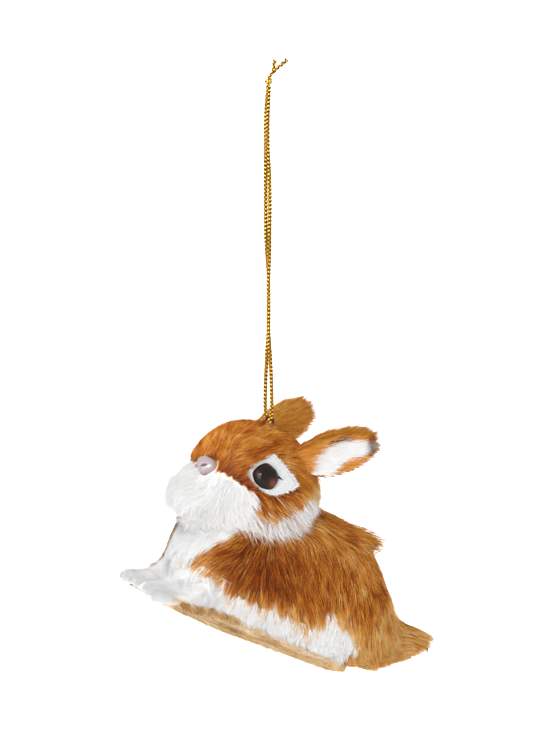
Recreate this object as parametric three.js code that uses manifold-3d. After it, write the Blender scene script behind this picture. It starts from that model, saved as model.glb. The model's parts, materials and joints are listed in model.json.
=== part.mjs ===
// A fur rabbit ornament that hangs by a gold cord. Millimetres, +Z up.
// The origin is the top of the cord loop, where a hook goes, just under the knot.
// The rabbit is laid out standing on its base, nose towards -X, and then tipped to hang.
import * as THREE from 'three';
import { mergeVertices } from 'three/examples/jsm/utils/BufferGeometryUtils.js';
import Module from 'manifold-3d';

const wasm = await Module();
wasm.setup();

// Driving sizes
const bodyLong = 62; // chest to rump
const bodyWide = 30;
const bodyTall = 33.2; // over the pad
const headLong = 37; // muzzle to the back of the ruff
const headWide = 27;
const headTall = 29.6;
const headFront = -17.4; // muzzle, from under the ring
const bodyFront = -9.6; // chest, from under the ring
const chinHigh = 21.8; // chin over the base
const hangPitch = 24.4; // degrees that the nose hangs up
const cordDrop = 83; // hook to the bend of the cord in the ring
const cordThick = 1.0;
const padThick = 2.2;
const padOver = 1.2; // pad shows this much less than the fur all round
const padRound = 9; // its corners
const bodyFur = 3.0; // depth of the pelts with their pile
const headFur = 2.4;
const seam = 0.3; // gap between neighbours
const eyeSize = 6.0;
const eyeHigh = 3.0;
const shankThick = 2.0;
const shankDeep = 5; // eye shank under the felt's middle
const rimThick = 1.3;
const noseWide = 6.4;
const noseTall = 4.8;
const noseDeep = 2.6;
const pawLong = 15.5;
const pawWide = 10.4;
const pawTall = 10.6;
const pawApart = 21; // between the middles of the paws
const earLong = 17.2;
const earWide = 12.2;
const earThick = 1.7;
const liningThick = 1.1;
const tailLong = 15.5;
const tailThick = 11.6;
const ringWire = 0.72;
const ringAcross = 2.62; // middle of the wire to the middle opposite
const shankLong = 9;
const pegThick = 6;
const pegLong = 16;
const knotThick = 2.1;
const knotTall = 3.0;
const hookRoom = 3.2; // hook to the underside of the knot
const endLong = 3.4;
const strandGap = 2.1; // between the strands' middles where they leave the ring

// Derived sizes
const bodyLow = padThick + seam;
const pawFront = bodyFront - pawLong * 0.44;
const pawLow = padThick * 0.3; // the paws hang over the front of the pad
const tau = Math.PI * 2;
const far = bodyLong * 1.5; // past every edge of the rabbit
const thinnest = 0.4; // least half size left when a form is drawn in
const weld = 1e-4;
const V = (x, y, z) => new THREE.Vector3(x, y, z);

function solid(geometry) {
  const bare = geometry.clone();
  for (const name of ['normal', 'uv']) bare.deleteAttribute(name);
  const g = mergeVertices(bare, weld);
  const made = new wasm.Mesh({
    numProp: 3,
    vertProperties: new Float32Array(g.attributes.position.array),
    triVerts: new Uint32Array(g.index.array),
  });
  return new wasm.Manifold(made);
}

function largest(body) {
  const all = body.decompose();
  return all.reduce((a, b) => (b.volume() > a.volume() ? b : a));
}

function geometryOf(body) {
  const m = body.getMesh();
  const g = new THREE.BufferGeometry();
  g.setAttribute('position', new THREE.BufferAttribute(new Float32Array(m.vertProperties), 3));
  g.setIndex(new THREE.BufferAttribute(new Uint32Array(m.triVerts), 1));
  return g;
}

function mirrored(geometry) {
  const g = geometry.clone();
  g.scale(1, -1, 1);
  const i = g.index.array;
  for (let k = 0; k < i.length; k += 3) [i[k], i[k + 1]] = [i[k + 1], i[k]];
  return g;
}

// A loft through rings of equal counts, closed by a fan at each end
function loft(rings) {
  const n = rings[0].length;
  const points = [];
  const faces = [];
  for (const ring of rings) for (const p of ring) points.push(p.x, p.y, p.z);
  for (let r = 0; r + 1 < rings.length; r++) {
    for (let k = 0; k < n; k++) {
      const a = r * n + k;
      const b = r * n + ((k + 1) % n);
      faces.push(a, b, a + n, b, b + n, a + n);
    }
  }
  for (const [r, flip] of [[0, false], [rings.length - 1, true]]) {
    const middle = V(0, 0, 0);
    for (const p of rings[r]) middle.add(p);
    middle.divideScalar(n);
    const c = points.length / 3;
    points.push(middle.x, middle.y, middle.z);
    for (let k = 0; k < n; k++) {
      const a = r * n + k;
      const b = r * n + ((k + 1) % n);
      if (flip) faces.push(a, b, c);
      else faces.push(b, a, c);
    }
  }
  const g = new THREE.BufferGeometry();
  g.setAttribute('position', new THREE.Float32BufferAttribute(points, 3));
  g.setIndex(faces);
  return g;
}

const bulge = (v, power) => Math.sign(v) * Math.abs(v) ** power;

// An upright section across X: round above and below its widest level
function section(x, y, half, low, high, mid, count, power) {
  const ring = [];
  for (let k = 0; k < count; k++) {
    const t = (k / count) * tau;
    const c = bulge(Math.cos(t), power);
    const s = bulge(Math.sin(t), power);
    ring.push(V(x, y + half * c, mid + s * (s > 0 ? high - mid : mid - low)));
  }
  return ring;
}

// Shares of length, half width, bottom, top and widest level, nose to tail
function form(table, box, count, power, inset) {
  const half = box.long / 2;
  const pull = (half - inset) / half;
  const rings = table.map(([at, wide, low, high, mid]) => {
    const x = box.front + half + (at - 0.5) * box.long * pull;
    const w = Math.max((wide * box.wide) / 2 - inset, thinnest);
    const z = (share) => box.base + share * box.tall;
    const m = z(mid);
    const top = Math.max(z(high) - inset, m + thinnest);
    const under = Math.min(z(low) + inset, m - thinnest);
    return section(x, box.side, w, under, top, m, count, power);
  });
  return solid(loft(rings));
}

const bodyTable = [
  [0.012, 0.42, 0.1, 0.5, 0.3],
  [0.042, 0.66, 0.02, 0.64, 0.32],
  [0.1, 0.86, -0.06, 0.8, 0.3],
  [0.22, 0.97, -0.1, 0.9, 0.28],
  [0.36, 1.0, -0.1, 0.96, 0.27],
  [0.52, 1.0, -0.1, 1.0, 0.27],
  [0.68, 1.0, -0.1, 0.97, 0.26],
  [0.78, 0.98, -0.1, 0.85, 0.25],
  [0.87, 0.9, -0.06, 0.69, 0.25],
  [0.94, 0.72, 0.02, 0.54, 0.25],
  [0.985, 0.46, 0.1, 0.43, 0.26],
  [1.0, 0.2, 0.18, 0.35, 0.27],
];
const headTable = [
  [0.0, 0.22, 0.12, 0.28, 0.2],
  [0.03, 0.44, 0.07, 0.34, 0.2],
  [0.08, 0.62, 0.03, 0.41, 0.21],
  [0.115, 0.7, 0.01, 0.52, 0.25],
  [0.135, 0.76, 0.0, 0.7, 0.32],
  [0.17, 0.82, 0.0, 0.83, 0.37],
  [0.25, 0.9, 0.0, 0.93, 0.4],
  [0.36, 0.96, 0.0, 0.98, 0.42],
  [0.5, 1.0, 0.01, 1.0, 0.43],
  [0.66, 1.0, 0.05, 0.97, 0.45],
  [0.81, 0.9, 0.13, 0.87, 0.48],
  [0.9, 0.7, 0.24, 0.74, 0.5],
  [0.97, 0.34, 0.4, 0.6, 0.5],
];
const pawTable = [
  [0.0, 0.4, 0.02, 0.2, 0.1],
  [0.07, 0.68, 0.0, 0.32, 0.14],
  [0.22, 0.9, 0.0, 0.48, 0.18],
  [0.44, 1.0, 0.0, 0.68, 0.22],
  [0.7, 1.0, 0.0, 0.94, 0.3],
  [0.9, 0.86, 0.0, 1.0, 0.4],
  [1.0, 0.5, 0.2, 0.8, 0.5],
];

const bodyBox = {
  front: bodyFront, long: bodyLong, wide: bodyWide, tall: bodyTall, base: bodyLow, side: 0,
};
const headBox = {
  front: headFront, long: headLong, wide: headWide, tall: headTall, base: chinHigh, side: 0,
};
const pawBox = {
  front: pawFront, long: pawLong, wide: pawWide, tall: pawTall, base: pawLow, side: -pawApart / 2,
};
const bodyForm = (inset) => form(bodyTable, bodyBox, 20, 0.8, inset);
const headForm = (inset) => form(headTable, headBox, 20, 0.9, inset);
const pawForm = (inset) => form(pawTable, pawBox, 14, 0.85, inset);

// An outline in the side view, taken right through the rabbit
function prism(outline) {
  const shape = new THREE.Shape(outline.map(([x, z]) => new THREE.Vector2(x, z)));
  const g = new THREE.ExtrudeGeometry(shape, { depth: 2 * far, bevelEnabled: false });
  g.rotateX(Math.PI / 2);
  g.translate(0, far, 0);
  return solid(g);
}

// The outline with every edge moved outwards
function grown(outline, by) {
  let turn = 0;
  const n = outline.length;
  for (let k = 0; k < n; k++) {
    const [a, b] = [outline[k], outline[(k + 1) % n]];
    turn += a[0] * b[1] - b[0] * a[1];
  }
  const out = Math.sign(turn);
  const side = (a, b) => {
    const long = Math.hypot(b[0] - a[0], b[1] - a[1]);
    return [(out * (b[1] - a[1])) / long, (-out * (b[0] - a[0])) / long];
  };
  return outline.map((p, k) => {
    const [m, q] = [side(outline[(k + n - 1) % n], p), side(p, outline[(k + 1) % n])];
    const reach = by / (1 + m[0] * q[0] + m[1] * q[1]);
    return [p[0] + (m[0] + q[0]) * reach, p[1] + (m[1] + q[1]) * reach];
  });
}

function block(wide, deep, tall, x, y, z) {
  const g = new THREE.BoxGeometry(wide, deep, tall);
  g.translate(x, y, z);
  return solid(g);
}

const underground = block(2 * far, 2 * far, far, 0, 0, bodyLow - far / 2);
const leftHalf = block(2 * far, far, 2 * far, 0, -far / 2 - seam / 2, 0);
const rightHalf = block(2 * far, far, 2 * far, 0, far / 2 + seam / 2, 0);

// A point in the head's side view, by shares of its length and height
const inHead = (along, up) => [headFront + along * headLong, chinHigh + up * headTall];
const inBody = (along, up) => [bodyFront + along * bodyLong, bodyLow + up * bodyTall];

// Whole forms and what cuts them
const headWhole = headForm(0);
const headRoom = headForm(-seam);
const bodyWhole = bodyForm(0).subtract(underground);
const pawRoom = pawForm(-seam);
const pawsRoom = pawRoom.add(solid(mirrored(geometryOf(pawRoom))));
const bodyRoom = bodyForm(-seam);

// Base pad: rounded outline under the body and the paws
const padFront = pawFront + padOver * 2;
const padBack = bodyFront + bodyLong * 0.87;
const padHalf = bodyWide / 2 - padOver;
function padPlate(by) {
  const [front, back, half] = [padFront - by, padBack + by, padHalf + by];
  const shape = new THREE.Shape();
  shape.moveTo(front + padRound, -half);
  shape.lineTo(back - padRound, -half);
  shape.quadraticCurveTo(back, -half, back, -half + padRound);
  shape.lineTo(back, half - padRound);
  shape.quadraticCurveTo(back, half, back - padRound, half);
  shape.lineTo(front + padRound, half);
  shape.quadraticCurveTo(front, half, front, half - padRound);
  shape.lineTo(front, -half + padRound);
  shape.quadraticCurveTo(front, -half, front + padRound, -half);
  const depth = padThick + by;
  return solid(new THREE.ExtrudeGeometry(shape, { depth, bevelEnabled: false, curveSegments: 5 }));
}
const pad = padPlate(0);
const padRoom = padPlate(seam);
const pawLeft = pawForm(0).subtract(padRoom);

// Eyes and nose are laid out facing +Z and then turned to face out of the head
function faced(geometry, outward, up, place) {
  const z = outward.clone().normalize();
  const x = new THREE.Vector3().crossVectors(up, z).normalize();
  const y = new THREE.Vector3().crossVectors(z, x);
  const g = geometry.clone();
  g.applyMatrix4(new THREE.Matrix4().makeBasis(x, y, z).setPosition(place));
  return g;
}
const [eyeX, eyeZ] = inHead(0.458, 0.635);
const eyeOut = V(-0.3, -0.92, 0.3);
const eyeUp = V(0.1, 0, 1);
const eyeAt = V(eyeX, (-headWide / 2) * 0.885, eyeZ);
const onEye = (geometry) => faced(geometry, eyeOut, eyeUp, eyeAt);

// Lozenge of felt round the eye, in shares of the eye's size; the nose is towards -X
const rimShape = (by) => {
  // Each corner and then the bend of the edge after it
  const outline = [
    [-0.88, -0.28], [-0.53, 0.33], [-0.085, 0.82], [0.7, 0.56], [1.37, 0.16], [1.08, -0.46], [0.49, -0.73],
    [-0.42, -0.74],
  ].map(([x, y]) => [x * eyeSize, y * eyeSize]);
  const points = grown(outline, by);
  const shape = new THREE.Shape();
  shape.moveTo(...points[0]);
  for (let k = 1; k < 8; k += 2) shape.quadraticCurveTo(...points[k], ...points[(k + 1) % 8]);
  return shape;
};
const plate = (shape, deep, low) => {
  const g = new THREE.ExtrudeGeometry(shape, { depth: deep, bevelEnabled: false, curveSegments: 4 });
  g.translate(0, 0, low);
  return g;
};
const rod = (radius, low, high, sides, x = 0, y = 0) => {
  const g = new THREE.CylinderGeometry(radius, radius, high - low, sides);
  g.rotateX(Math.PI / 2);
  g.translate(x, y, (low + high) / 2);
  return g;
};
const rimSeat = -rimThick / 2;
const domeAt = [-0.03 * eyeSize, -0.16 * eyeSize]; // the dome sits low on the felt
const shankHole = solid(onEye(rod(shankThick / 2 + seam, -shankDeep - seam, eyeHigh, 12, ...domeAt)));
const rimGeometry = onEye(plate(rimShape(0), rimThick, rimSeat));
const rim = solid(rimGeometry).subtract(shankHole);
const eyeLow = rimSeat + rimThick + seam;
const clearOut = headWide / 2; // far enough to clear the pile in front of an eye or the nose
const rimPocket = solid(onEye(plate(rimShape(seam), clearOut, rimSeat - seam)))
  .add(solid(onEye(rod(eyeSize / 2 + seam, rimSeat, clearOut, 20, ...domeAt))));

const domeProfile = [
  [0, -shankDeep], [shankThick / 2, -shankDeep], [shankThick / 2, eyeLow], [eyeSize / 2, eyeLow],
  [eyeSize * 0.49, eyeLow + eyeHigh * 0.24], [eyeSize * 0.43, eyeLow + eyeHigh * 0.5],
  [eyeSize * 0.32, eyeLow + eyeHigh * 0.76], [eyeSize * 0.17, eyeLow + eyeHigh * 0.94],
  [0, eyeLow + eyeHigh],
].map(([r, z]) => new THREE.Vector2(r, z));
const dome = new THREE.LatheGeometry(domeProfile, 16);
dome.rotateX(Math.PI / 2);
dome.translate(...domeAt, 0);
// The rear corner of the eye: a low wedge that runs out to a point
const corner = new THREE.Shape();
corner.moveTo(eyeSize * 0.13, eyeSize * 0.25);
corner.quadraticCurveTo(eyeSize * 0.42, eyeSize * 0.14, eyeSize * 0.72, eyeSize * 0.035);
corner.quadraticCurveTo(eyeSize * 0.5, -eyeSize * 0.01, eyeSize * 0.26, -eyeSize * 0.06);
corner.lineTo(eyeSize * 0.05, 0);
const eye = solid(onEye(dome)).add(solid(onEye(plate(corner, eyeHigh * 0.24, eyeLow))));

// The nose sits a little to the rabbit's left, and looks that way
const [noseX, noseZ] = inHead(0.138, 0.483);
const noseOut = V(-0.8, -0.5, 0.3);
const noseAt = V(noseX, -headWide * 0.13, noseZ);
const noseShape = (by) => {
  const w = noseWide / 2 + by;
  const t = noseTall / 2 + by;
  const shape = new THREE.Shape();
  shape.moveTo(0, t * 0.86);
  shape.bezierCurveTo(w * 0.5, t * 1.12, w * 1.16, t * 0.9, w, t * 0.3);
  shape.bezierCurveTo(w * 0.84, -t * 0.3, w * 0.4, -t, 0, -t);
  shape.bezierCurveTo(-w * 0.4, -t, -w * 0.84, -t * 0.3, -w, t * 0.3);
  shape.bezierCurveTo(-w * 1.16, t * 0.9, -w * 0.5, t * 1.12, 0, t * 0.86);
  return shape;
};
const onNose = (geometry) => faced(geometry, noseOut, V(0, 0, 1), noseAt);
const noseBevel = noseDeep * 0.55;
const noseGeometry = new THREE.ExtrudeGeometry(noseShape(-noseBevel), {
  depth: noseDeep - noseBevel, bevelEnabled: true, bevelThickness: noseBevel, bevelSize: noseBevel,
  bevelSegments: 3, curveSegments: 4,
});
const slit = new THREE.BoxGeometry(noseWide * 0.34, noseTall * 0.1, noseDeep * 0.5);
slit.translate(0, -noseTall * 0.04, noseDeep);
const nose = solid(onNose(noseGeometry)).subtract(solid(onNose(slit)));
const nosePocket = solid(onNose(plate(noseShape(seam * 2), clearOut, -noseBevel - seam)));

// Screw eye: a wire ring in the XZ plane of the hanging frame, on a threaded shank
const tip = new THREE.Matrix4().makeRotationY(THREE.MathUtils.degToRad(hangPitch));
const untip = tip.clone().invert();
const cordRadius = cordThick / 2;
const wireRadius = ringWire / 2;
const ringRadius = ringAcross / 2;
// The bend of the cord bears on the top of the ring from inside
const bearDrop = ringRadius - wireRadius - cordRadius - seam * 0.7;
const crownTop = chinHigh + headTall * 0.995;
const ringSunk = ringRadius * 0.42; // how far the ring's middle is above the fur
const hingeAt = V(0, 0, crownTop + ringSunk + bearDrop);
const ringMiddle = V(0, 0, -bearDrop).applyMatrix4(untip).add(hingeAt);
const ring = new THREE.TorusGeometry(ringRadius, wireRadius, 8, 20);
ring.rotateX(Math.PI / 2);
const thread = [[0, -shankLong]];
const turns = 4;
const threadRadius = wireRadius * 1.5;
const lead = (shankLong - ringAcross) / (turns + 1);
for (let k = 0; k < turns; k++) {
  const z = -shankLong + lead * (k + 0.5);
  thread.push([wireRadius, z], [threadRadius, z + lead * 0.3], [wireRadius, z + lead * 0.6]);
}
thread.push([wireRadius, -ringRadius], [0, -ringRadius]);
const shank = new THREE.LatheGeometry(thread.map(([r, z]) => new THREE.Vector2(r, z)), 8);
shank.rotateX(Math.PI / 2);
const hung = (geometry) => {
  const g = geometry.clone();
  g.applyMatrix4(untip);
  g.translate(ringMiddle.x, ringMiddle.y, ringMiddle.z);
  return g;
};
const screwEye = solid(hung(ring)).add(solid(hung(shank)));
const screwHole = solid(hung(rod(threadRadius + seam, -shankLong - seam, 0, 10)));
const ringRoomGeometry = new THREE.CylinderGeometry(
  ringRadius + wireRadius + seam * 2, ringRadius + wireRadius + seam * 2, ringWire + seam * 4, 16,
);
const ringRoom = solid(hung(ringRoomGeometry));

// Neck peg
const pegAt = inHead(0.6, 0.22);
const pegLean = V(-0.35, 0, 1);
const onPeg = (geometry) => faced(geometry, pegLean, V(1, 0, 0), V(pegAt[0], 0, pegAt[1]));
const peg = solid(onPeg(rod(pegThick / 2, -pegLong / 2, pegLong / 2, 16)));
const pegHole = solid(onPeg(rod(pegThick / 2 + seam, -pegLong / 2 - seam, pegLong / 2 + seam, 16)));

// Cores
const shanksRight = solid(mirrored(geometryOf(shankHole)));
const rimPocketRight = solid(mirrored(geometryOf(rimPocket)));
const headCore = largest(
  headForm(headFur + seam).subtract(pegHole).subtract(screwHole).subtract(shankHole)
    .subtract(shanksRight).subtract(rimPocket).subtract(rimPocketRight).subtract(nosePocket),
);
const bodyCore = largest(
  bodyForm(bodyFur + seam).subtract(underground).subtract(headRoom).subtract(pegHole).subtract(pawsRoom),
);

// Pelts of the head, each cut from what the ones before it leave
let headShell = headWhole.subtract(headForm(headFur)).subtract(rimPocket).subtract(rimPocketRight)
  .subtract(nosePocket).subtract(screwHole).subtract(ringRoom).subtract(pegHole)
  .subtract(shankHole).subtract(shanksRight);
function cutFrom(shell, outline) {
  return [largest(shell.intersect(prism(outline))), shell.subtract(prism(grown(outline, seam)))];
}
const crownLine = [
  inHead(-0.3, 0.5), inHead(0.12, 0.52), inHead(0.19, 0.503), inHead(0.29, 0.485), inHead(0.41, 0.447),
  inHead(0.56, 0.5), inHead(0.85, 0.6), inHead(1.3, 0.62),
];
let crownFur, muzzleFur, cheeks;
[crownFur, headShell] = cutFrom(headShell, [...crownLine, inHead(1.3, 1.5), inHead(-0.3, 1.5)]);
[muzzleFur, headShell] = cutFrom(headShell, [
  inHead(-0.3, 0.6), inHead(0.41, 0.6), inHead(0.42, 0.44), inHead(0.46, 0.36), inHead(0.46, 0.24),
  inHead(0.43, 0.12), inHead(0.42, -0.5), inHead(-0.3, -0.5),
]);
const cheekOutline = [
  inHead(0.41, 0.62), inHead(0.42, 0.42), inHead(0.48, 0.32), inHead(0.59, 0.26), inHead(0.65, 0.35),
  inHead(0.73, 0.31), inHead(0.8, 0.46), inHead(0.83, 0.66),
];
cheeks = headShell.intersect(prism(cheekOutline));
const cheekLeft = largest(cheeks.intersect(leftHalf));
const ruff = largest(headShell.subtract(prism(grown(cheekOutline, seam))));

// Pelts of the body
let bodyShell = bodyWhole.subtract(bodyForm(bodyFur)).subtract(headRoom).subtract(pawsRoom)
  .subtract(pegHole);
let chestFur, rumpFur, saddleFur;
[chestFur, bodyShell] = cutFrom(bodyShell, [
  inBody(-0.4, -0.4), inBody(0.05, -0.4), inBody(0.035, 0.2), inBody(0.035, 0.29), inBody(0.075, 0.45),
  inBody(0.12, 0.56), inBody(0.17, 0.72), inBody(0.17, 1.5), inBody(-0.4, 1.5),
]);
[rumpFur, bodyShell] = cutFrom(bodyShell, [
  inBody(0.79, -0.4), inBody(0.8, 0.14), inBody(0.82, 0.4), inBody(0.86, 0.66), inBody(0.9, 1.5),
  inBody(1.4, 1.5), inBody(1.4, -0.4),
]);
const ragged = [
  inBody(-0.4, 0.27), inBody(0.06, 0.27), inBody(0.09, 0.23), inBody(0.15, 0.19), inBody(0.2, 0.13),
  inBody(0.29, 0.14), inBody(0.34, 0.19), inBody(0.43, 0.21), inBody(0.5, 0.11), inBody(0.55, 0.12),
  inBody(0.58, 0.23), inBody(0.63, 0.29), inBody(0.68, 0.24), inBody(0.73, 0.22), inBody(0.79, 0.16),
  inBody(1.4, 0.16),
];
[saddleFur, bodyShell] = cutFrom(bodyShell, [...ragged, inBody(1.4, 1.5), inBody(-0.4, 1.5)]);
const flankLeft = largest(bodyShell.intersect(leftHalf));

// Tail: a brush that lifts a little at its tip
// Share of its length, then half width, bottom and top in shares of its thickness
const tailRoot = inBody(0.93, 0.27);
const tailTable = [
  [-0.26, 0.66, -0.8, 0.74], [0, 0.59, -0.78, 0.62], [0.25, 0.5, -0.71, 0.53], [0.51, 0.4, -0.56, 0.48],
  [0.77, 0.28, -0.31, 0.46], [0.94, 0.16, -0.04, 0.46], [1, 0.06, 0.16, 0.32],
];
const tailRings = tailTable.map(([at, wide, low, high]) => {
  const x = tailRoot[0] + at * tailLong;
  const z = (share) => tailRoot[1] + share * tailThick;
  return section(x, 0, wide * tailThick, z(low), z(high), z((low + high) / 2), 14, 1);
});
const tail = largest(solid(loft(tailRings)).subtract(bodyRoom));

// Ears: cupped leaves, laid out along +X with the lining towards +Z
const earCup = 0.46; // rise of the edges, in shares of the width
const earBow = 0.053; // rise of the tip, in shares of the length
const earSweep = 0.12; // how far one edge runs ahead of the other
const leafSides = 14;
// Share along, and the half width towards the upper and the lower edge
const leafTable = [
  [0, 0.8, 0.88], [0.16, 0.94, 1.02], [0.36, 1, 1.02], [0.58, 0.94, 0.88],
  [0.76, 0.78, 0.66], [0.9, 0.54, 0.4], [1, 0.16, 0.14],
];
function leaf(size, thick, lift, share) {
  const [long, wide] = [earLong * size, earWide * size];
  const rings = leafTable.map(([at, upper, lower]) => {
    const out = [];
    for (let k = 0; k < leafSides; k++) {
      const t = (k / leafSides) * tau;
      const across = (wide / 2) * (Math.cos(t) > 0 ? upper : lower) * share * Math.cos(t);
      const cup = (earCup * across * across) / wide + earBow * long * at * at;
      const x = at * long * (1 - (1 - share) * 0.5) + across * earSweep;
      out.push(V(x, across, lift + cup + (thick / 2) * Math.sin(t)));
    }
    return out;
  });
  return loft(rings);
}
// The ears lie a little differently: the right one is laid out on the left side too, and then mirrored
const earOn = (along, up) => {
  const [x, z] = inHead(along, up);
  return V(x, -headWide * 0.33, z);
};
const earLeft = {
  base: earOn(0.743, 0.889), along: V(0.71, -0.416, 0.568), face: V(-0.448, -0.876, -0.179), size: 1,
};
const earRight = {
  base: earOn(0.635, 0.929), along: V(0.789, -0.337, 0.514), face: V(-0.305, -0.884, -0.353), size: 0.93,
};
function onEar(ear, geometry) {
  const x = ear.along.clone().normalize();
  const y = new THREE.Vector3().crossVectors(ear.face, x).normalize();
  const z = new THREE.Vector3().crossVectors(x, y);
  const g = geometry.clone();
  g.applyMatrix4(new THREE.Matrix4().makeBasis(x, y, z).setPosition(ear.base));
  return g;
}
const liningLift = earThick / 2 + seam + liningThick / 2;
const backOf = (ear) => largest(solid(onEar(ear, leaf(ear.size, earThick, 0, 1))).subtract(headRoom));
const liningOf = (ear) => {
  const lining = solid(onEar(ear, leaf(ear.size, liningThick, liningLift, 0.8)));
  return largest(lining.subtract(headRoom));
};

// Cord, in the hanging frame: down one strand, round under the ring's top wire, up the other
const bendZ = -cordDrop;
const bendRadius = strandGap / 2;
const knotLow = hookRoom;
const strandTop = cordThick * 0.56;
// The strands lean past each other on their way; s is -1 on the rabbit's left and 1 on its right
const oneSide = (s) => [
  [-0.1, strandTop, knotLow - seam], [-0.3, strandTop * 1.06, -cordDrop * 0.2],
  [-0.1, strandTop * 0.94, -cordDrop * 0.5], [0.15, strandTop * 1.1, -cordDrop * 0.7],
  [-0.5, bendRadius * 0.9, -cordDrop * 0.9], [-0.35, bendRadius, bendZ + bendRadius * 1.6],
  [-0.1, bendRadius * 0.8, bendZ + bendRadius * 0.4],
].map(([lean, y, z]) => [lean * s * cordThick, s * y, z]);
const route = [...oneSide(-1), [0, 0, bendZ], ...oneSide(1).reverse()].map((p) => V(...p));
// A round tube through the points, with so many steps from each one to the next
const tubeSides = 8;
function tube(points, radius, steps) {
  const curve = new THREE.CatmullRomCurve3(points);
  const rings = [];
  const spans = points.length - 1;
  for (let k = 0; k <= spans * steps; k++) {
    const at = k / (spans * steps);
    const middle = curve.getPoint(at);
    const along = curve.getTangent(at);
    const across = new THREE.Vector3().crossVectors(along, V(1, 0, 0)).normalize();
    const third = new THREE.Vector3().crossVectors(along, across);
    const ring = [];
    for (let n = 0; n < tubeSides; n++) {
      const t = (n / tubeSides) * tau;
      const point = middle.clone().addScaledVector(across, radius * Math.cos(t));
      ring.push(point.addScaledVector(third, radius * Math.sin(t)));
    }
    rings.push(ring);
  }
  return loft(rings);
}
const cord = solid(tube(route, cordRadius, 4));

// Knot: a lump with a stem that leans to the back, and the two frayed ends above it
const knotMiddle = knotLow + knotTall / 2;
const lump = new THREE.SphereGeometry(1, 14, 10);
lump.scale(knotThick / 2, knotThick / 2, knotTall / 2);
lump.translate(0, 0, knotMiddle);
const knotTop = knotLow + knotTall;
const stemTip = V(cordThick * 1.1, 0, knotTop + cordThick * 0.2);
const stem = tube([
  V(0, 0, knotMiddle), V(stemTip.x * 0.14, 0, knotMiddle + knotTall * 0.17),
  V(stemTip.x * 0.68, 0, knotTop - cordThick * 0.2), stemTip,
], cordRadius, 3);
const knot = solid(lump).add(solid(stem));
const pastStem = (back, up) => stemTip.clone().add(V(back * cordThick, 0, up * endLong));
const endOf = (...points) => solid(tube(points, cordRadius, 4));
const endFront = endOf(pastStem(0.05, 0.19), pastStem(0.25, 0.45), pastStem(0.5, 1.06));
const endBack = endOf(pastStem(1.1, -0.03), pastStem(1.75, 0.27), pastStem(4, 1.03));

// Materials
const colour = (hex, roughness, metalness = 0) => new THREE.MeshStandardMaterial({
  color: hex, roughness, metalness,
});
const brown = colour(0x9a5a24, 0.8);
const white = colour(0xf0eeea, 0.85);
const tan = colour(0xcba46a, 0.85);
const foam = colour(0xe6e2d4, 0.9);
const wood = colour(0xc9a573, 0.6);
const gold = colour(0xc89a34, 0.35, 0.9);
const bronze = colour(0x8a5a2c, 0.35, 1);
const felt = colour(0xf4f2ee, 0.95);
const dark = colour(0x1c0f0a, 0.08);
const mauve = colour(0xb9a6ad, 0.5);

const group = new THREE.Group();
group.name = 'rabbit_ornament';
function add(name, geometry, material) {
  const mesh = new THREE.Mesh(geometry, material);
  mesh.name = name;
  group.add(mesh);
}
const toHang = new THREE.Matrix4().makeTranslation(0, 0, -cordDrop).multiply(tip)
  .multiply(new THREE.Matrix4().makeTranslation(-hingeAt.x, -hingeAt.y, -hingeAt.z));
function place(name, body, material) {
  const g = geometryOf(body);
  g.applyMatrix4(toHang);
  add(name, g, material);
}
function pair(stem, side, body, material) {
  place(`${stem}_left${side}`, body, material);
  place(`${stem}_right${side}`, solid(mirrored(geometryOf(body))), material);
}

add('hanging_cord', geometryOf(cord), gold);
add('cord_knot', geometryOf(knot), gold);
add('cord_end_front', geometryOf(endFront), gold);
add('cord_end_back', geometryOf(endBack), gold);
place('screw_eye', screwEye, bronze);
place('head_core', headCore, foam);
place('body_core', bodyCore, foam);
place('neck_peg', peg, wood);
place('crown_fur', crownFur, brown);
place('muzzle_fur', muzzleFur, white);
pair('cheek_fur', '', cheekLeft, brown);
place('neck_ruff', ruff, white);
place('chest_fur', chestFur, white);
place('saddle_fur', saddleFur, brown);
pair('flank_fur', '', flankLeft, white);
place('rump_fur', rumpFur, brown);
place('tail_fur', tail, brown);
pair('front_paw', '', pawLeft, white);
place('base_pad', pad, tan);
place('ear_left_back', backOf(earLeft), brown);
place('ear_right_back', solid(mirrored(geometryOf(backOf(earRight)))), brown);
place('ear_left_lining', liningOf(earLeft), white);
place('ear_right_lining', solid(mirrored(geometryOf(liningOf(earRight)))), white);
pair('eye_rim', '', rim, felt);
pair('eye', '', eye, dark);
place('nose', nose, mauve);

export default group;
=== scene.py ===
import json
import math

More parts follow.
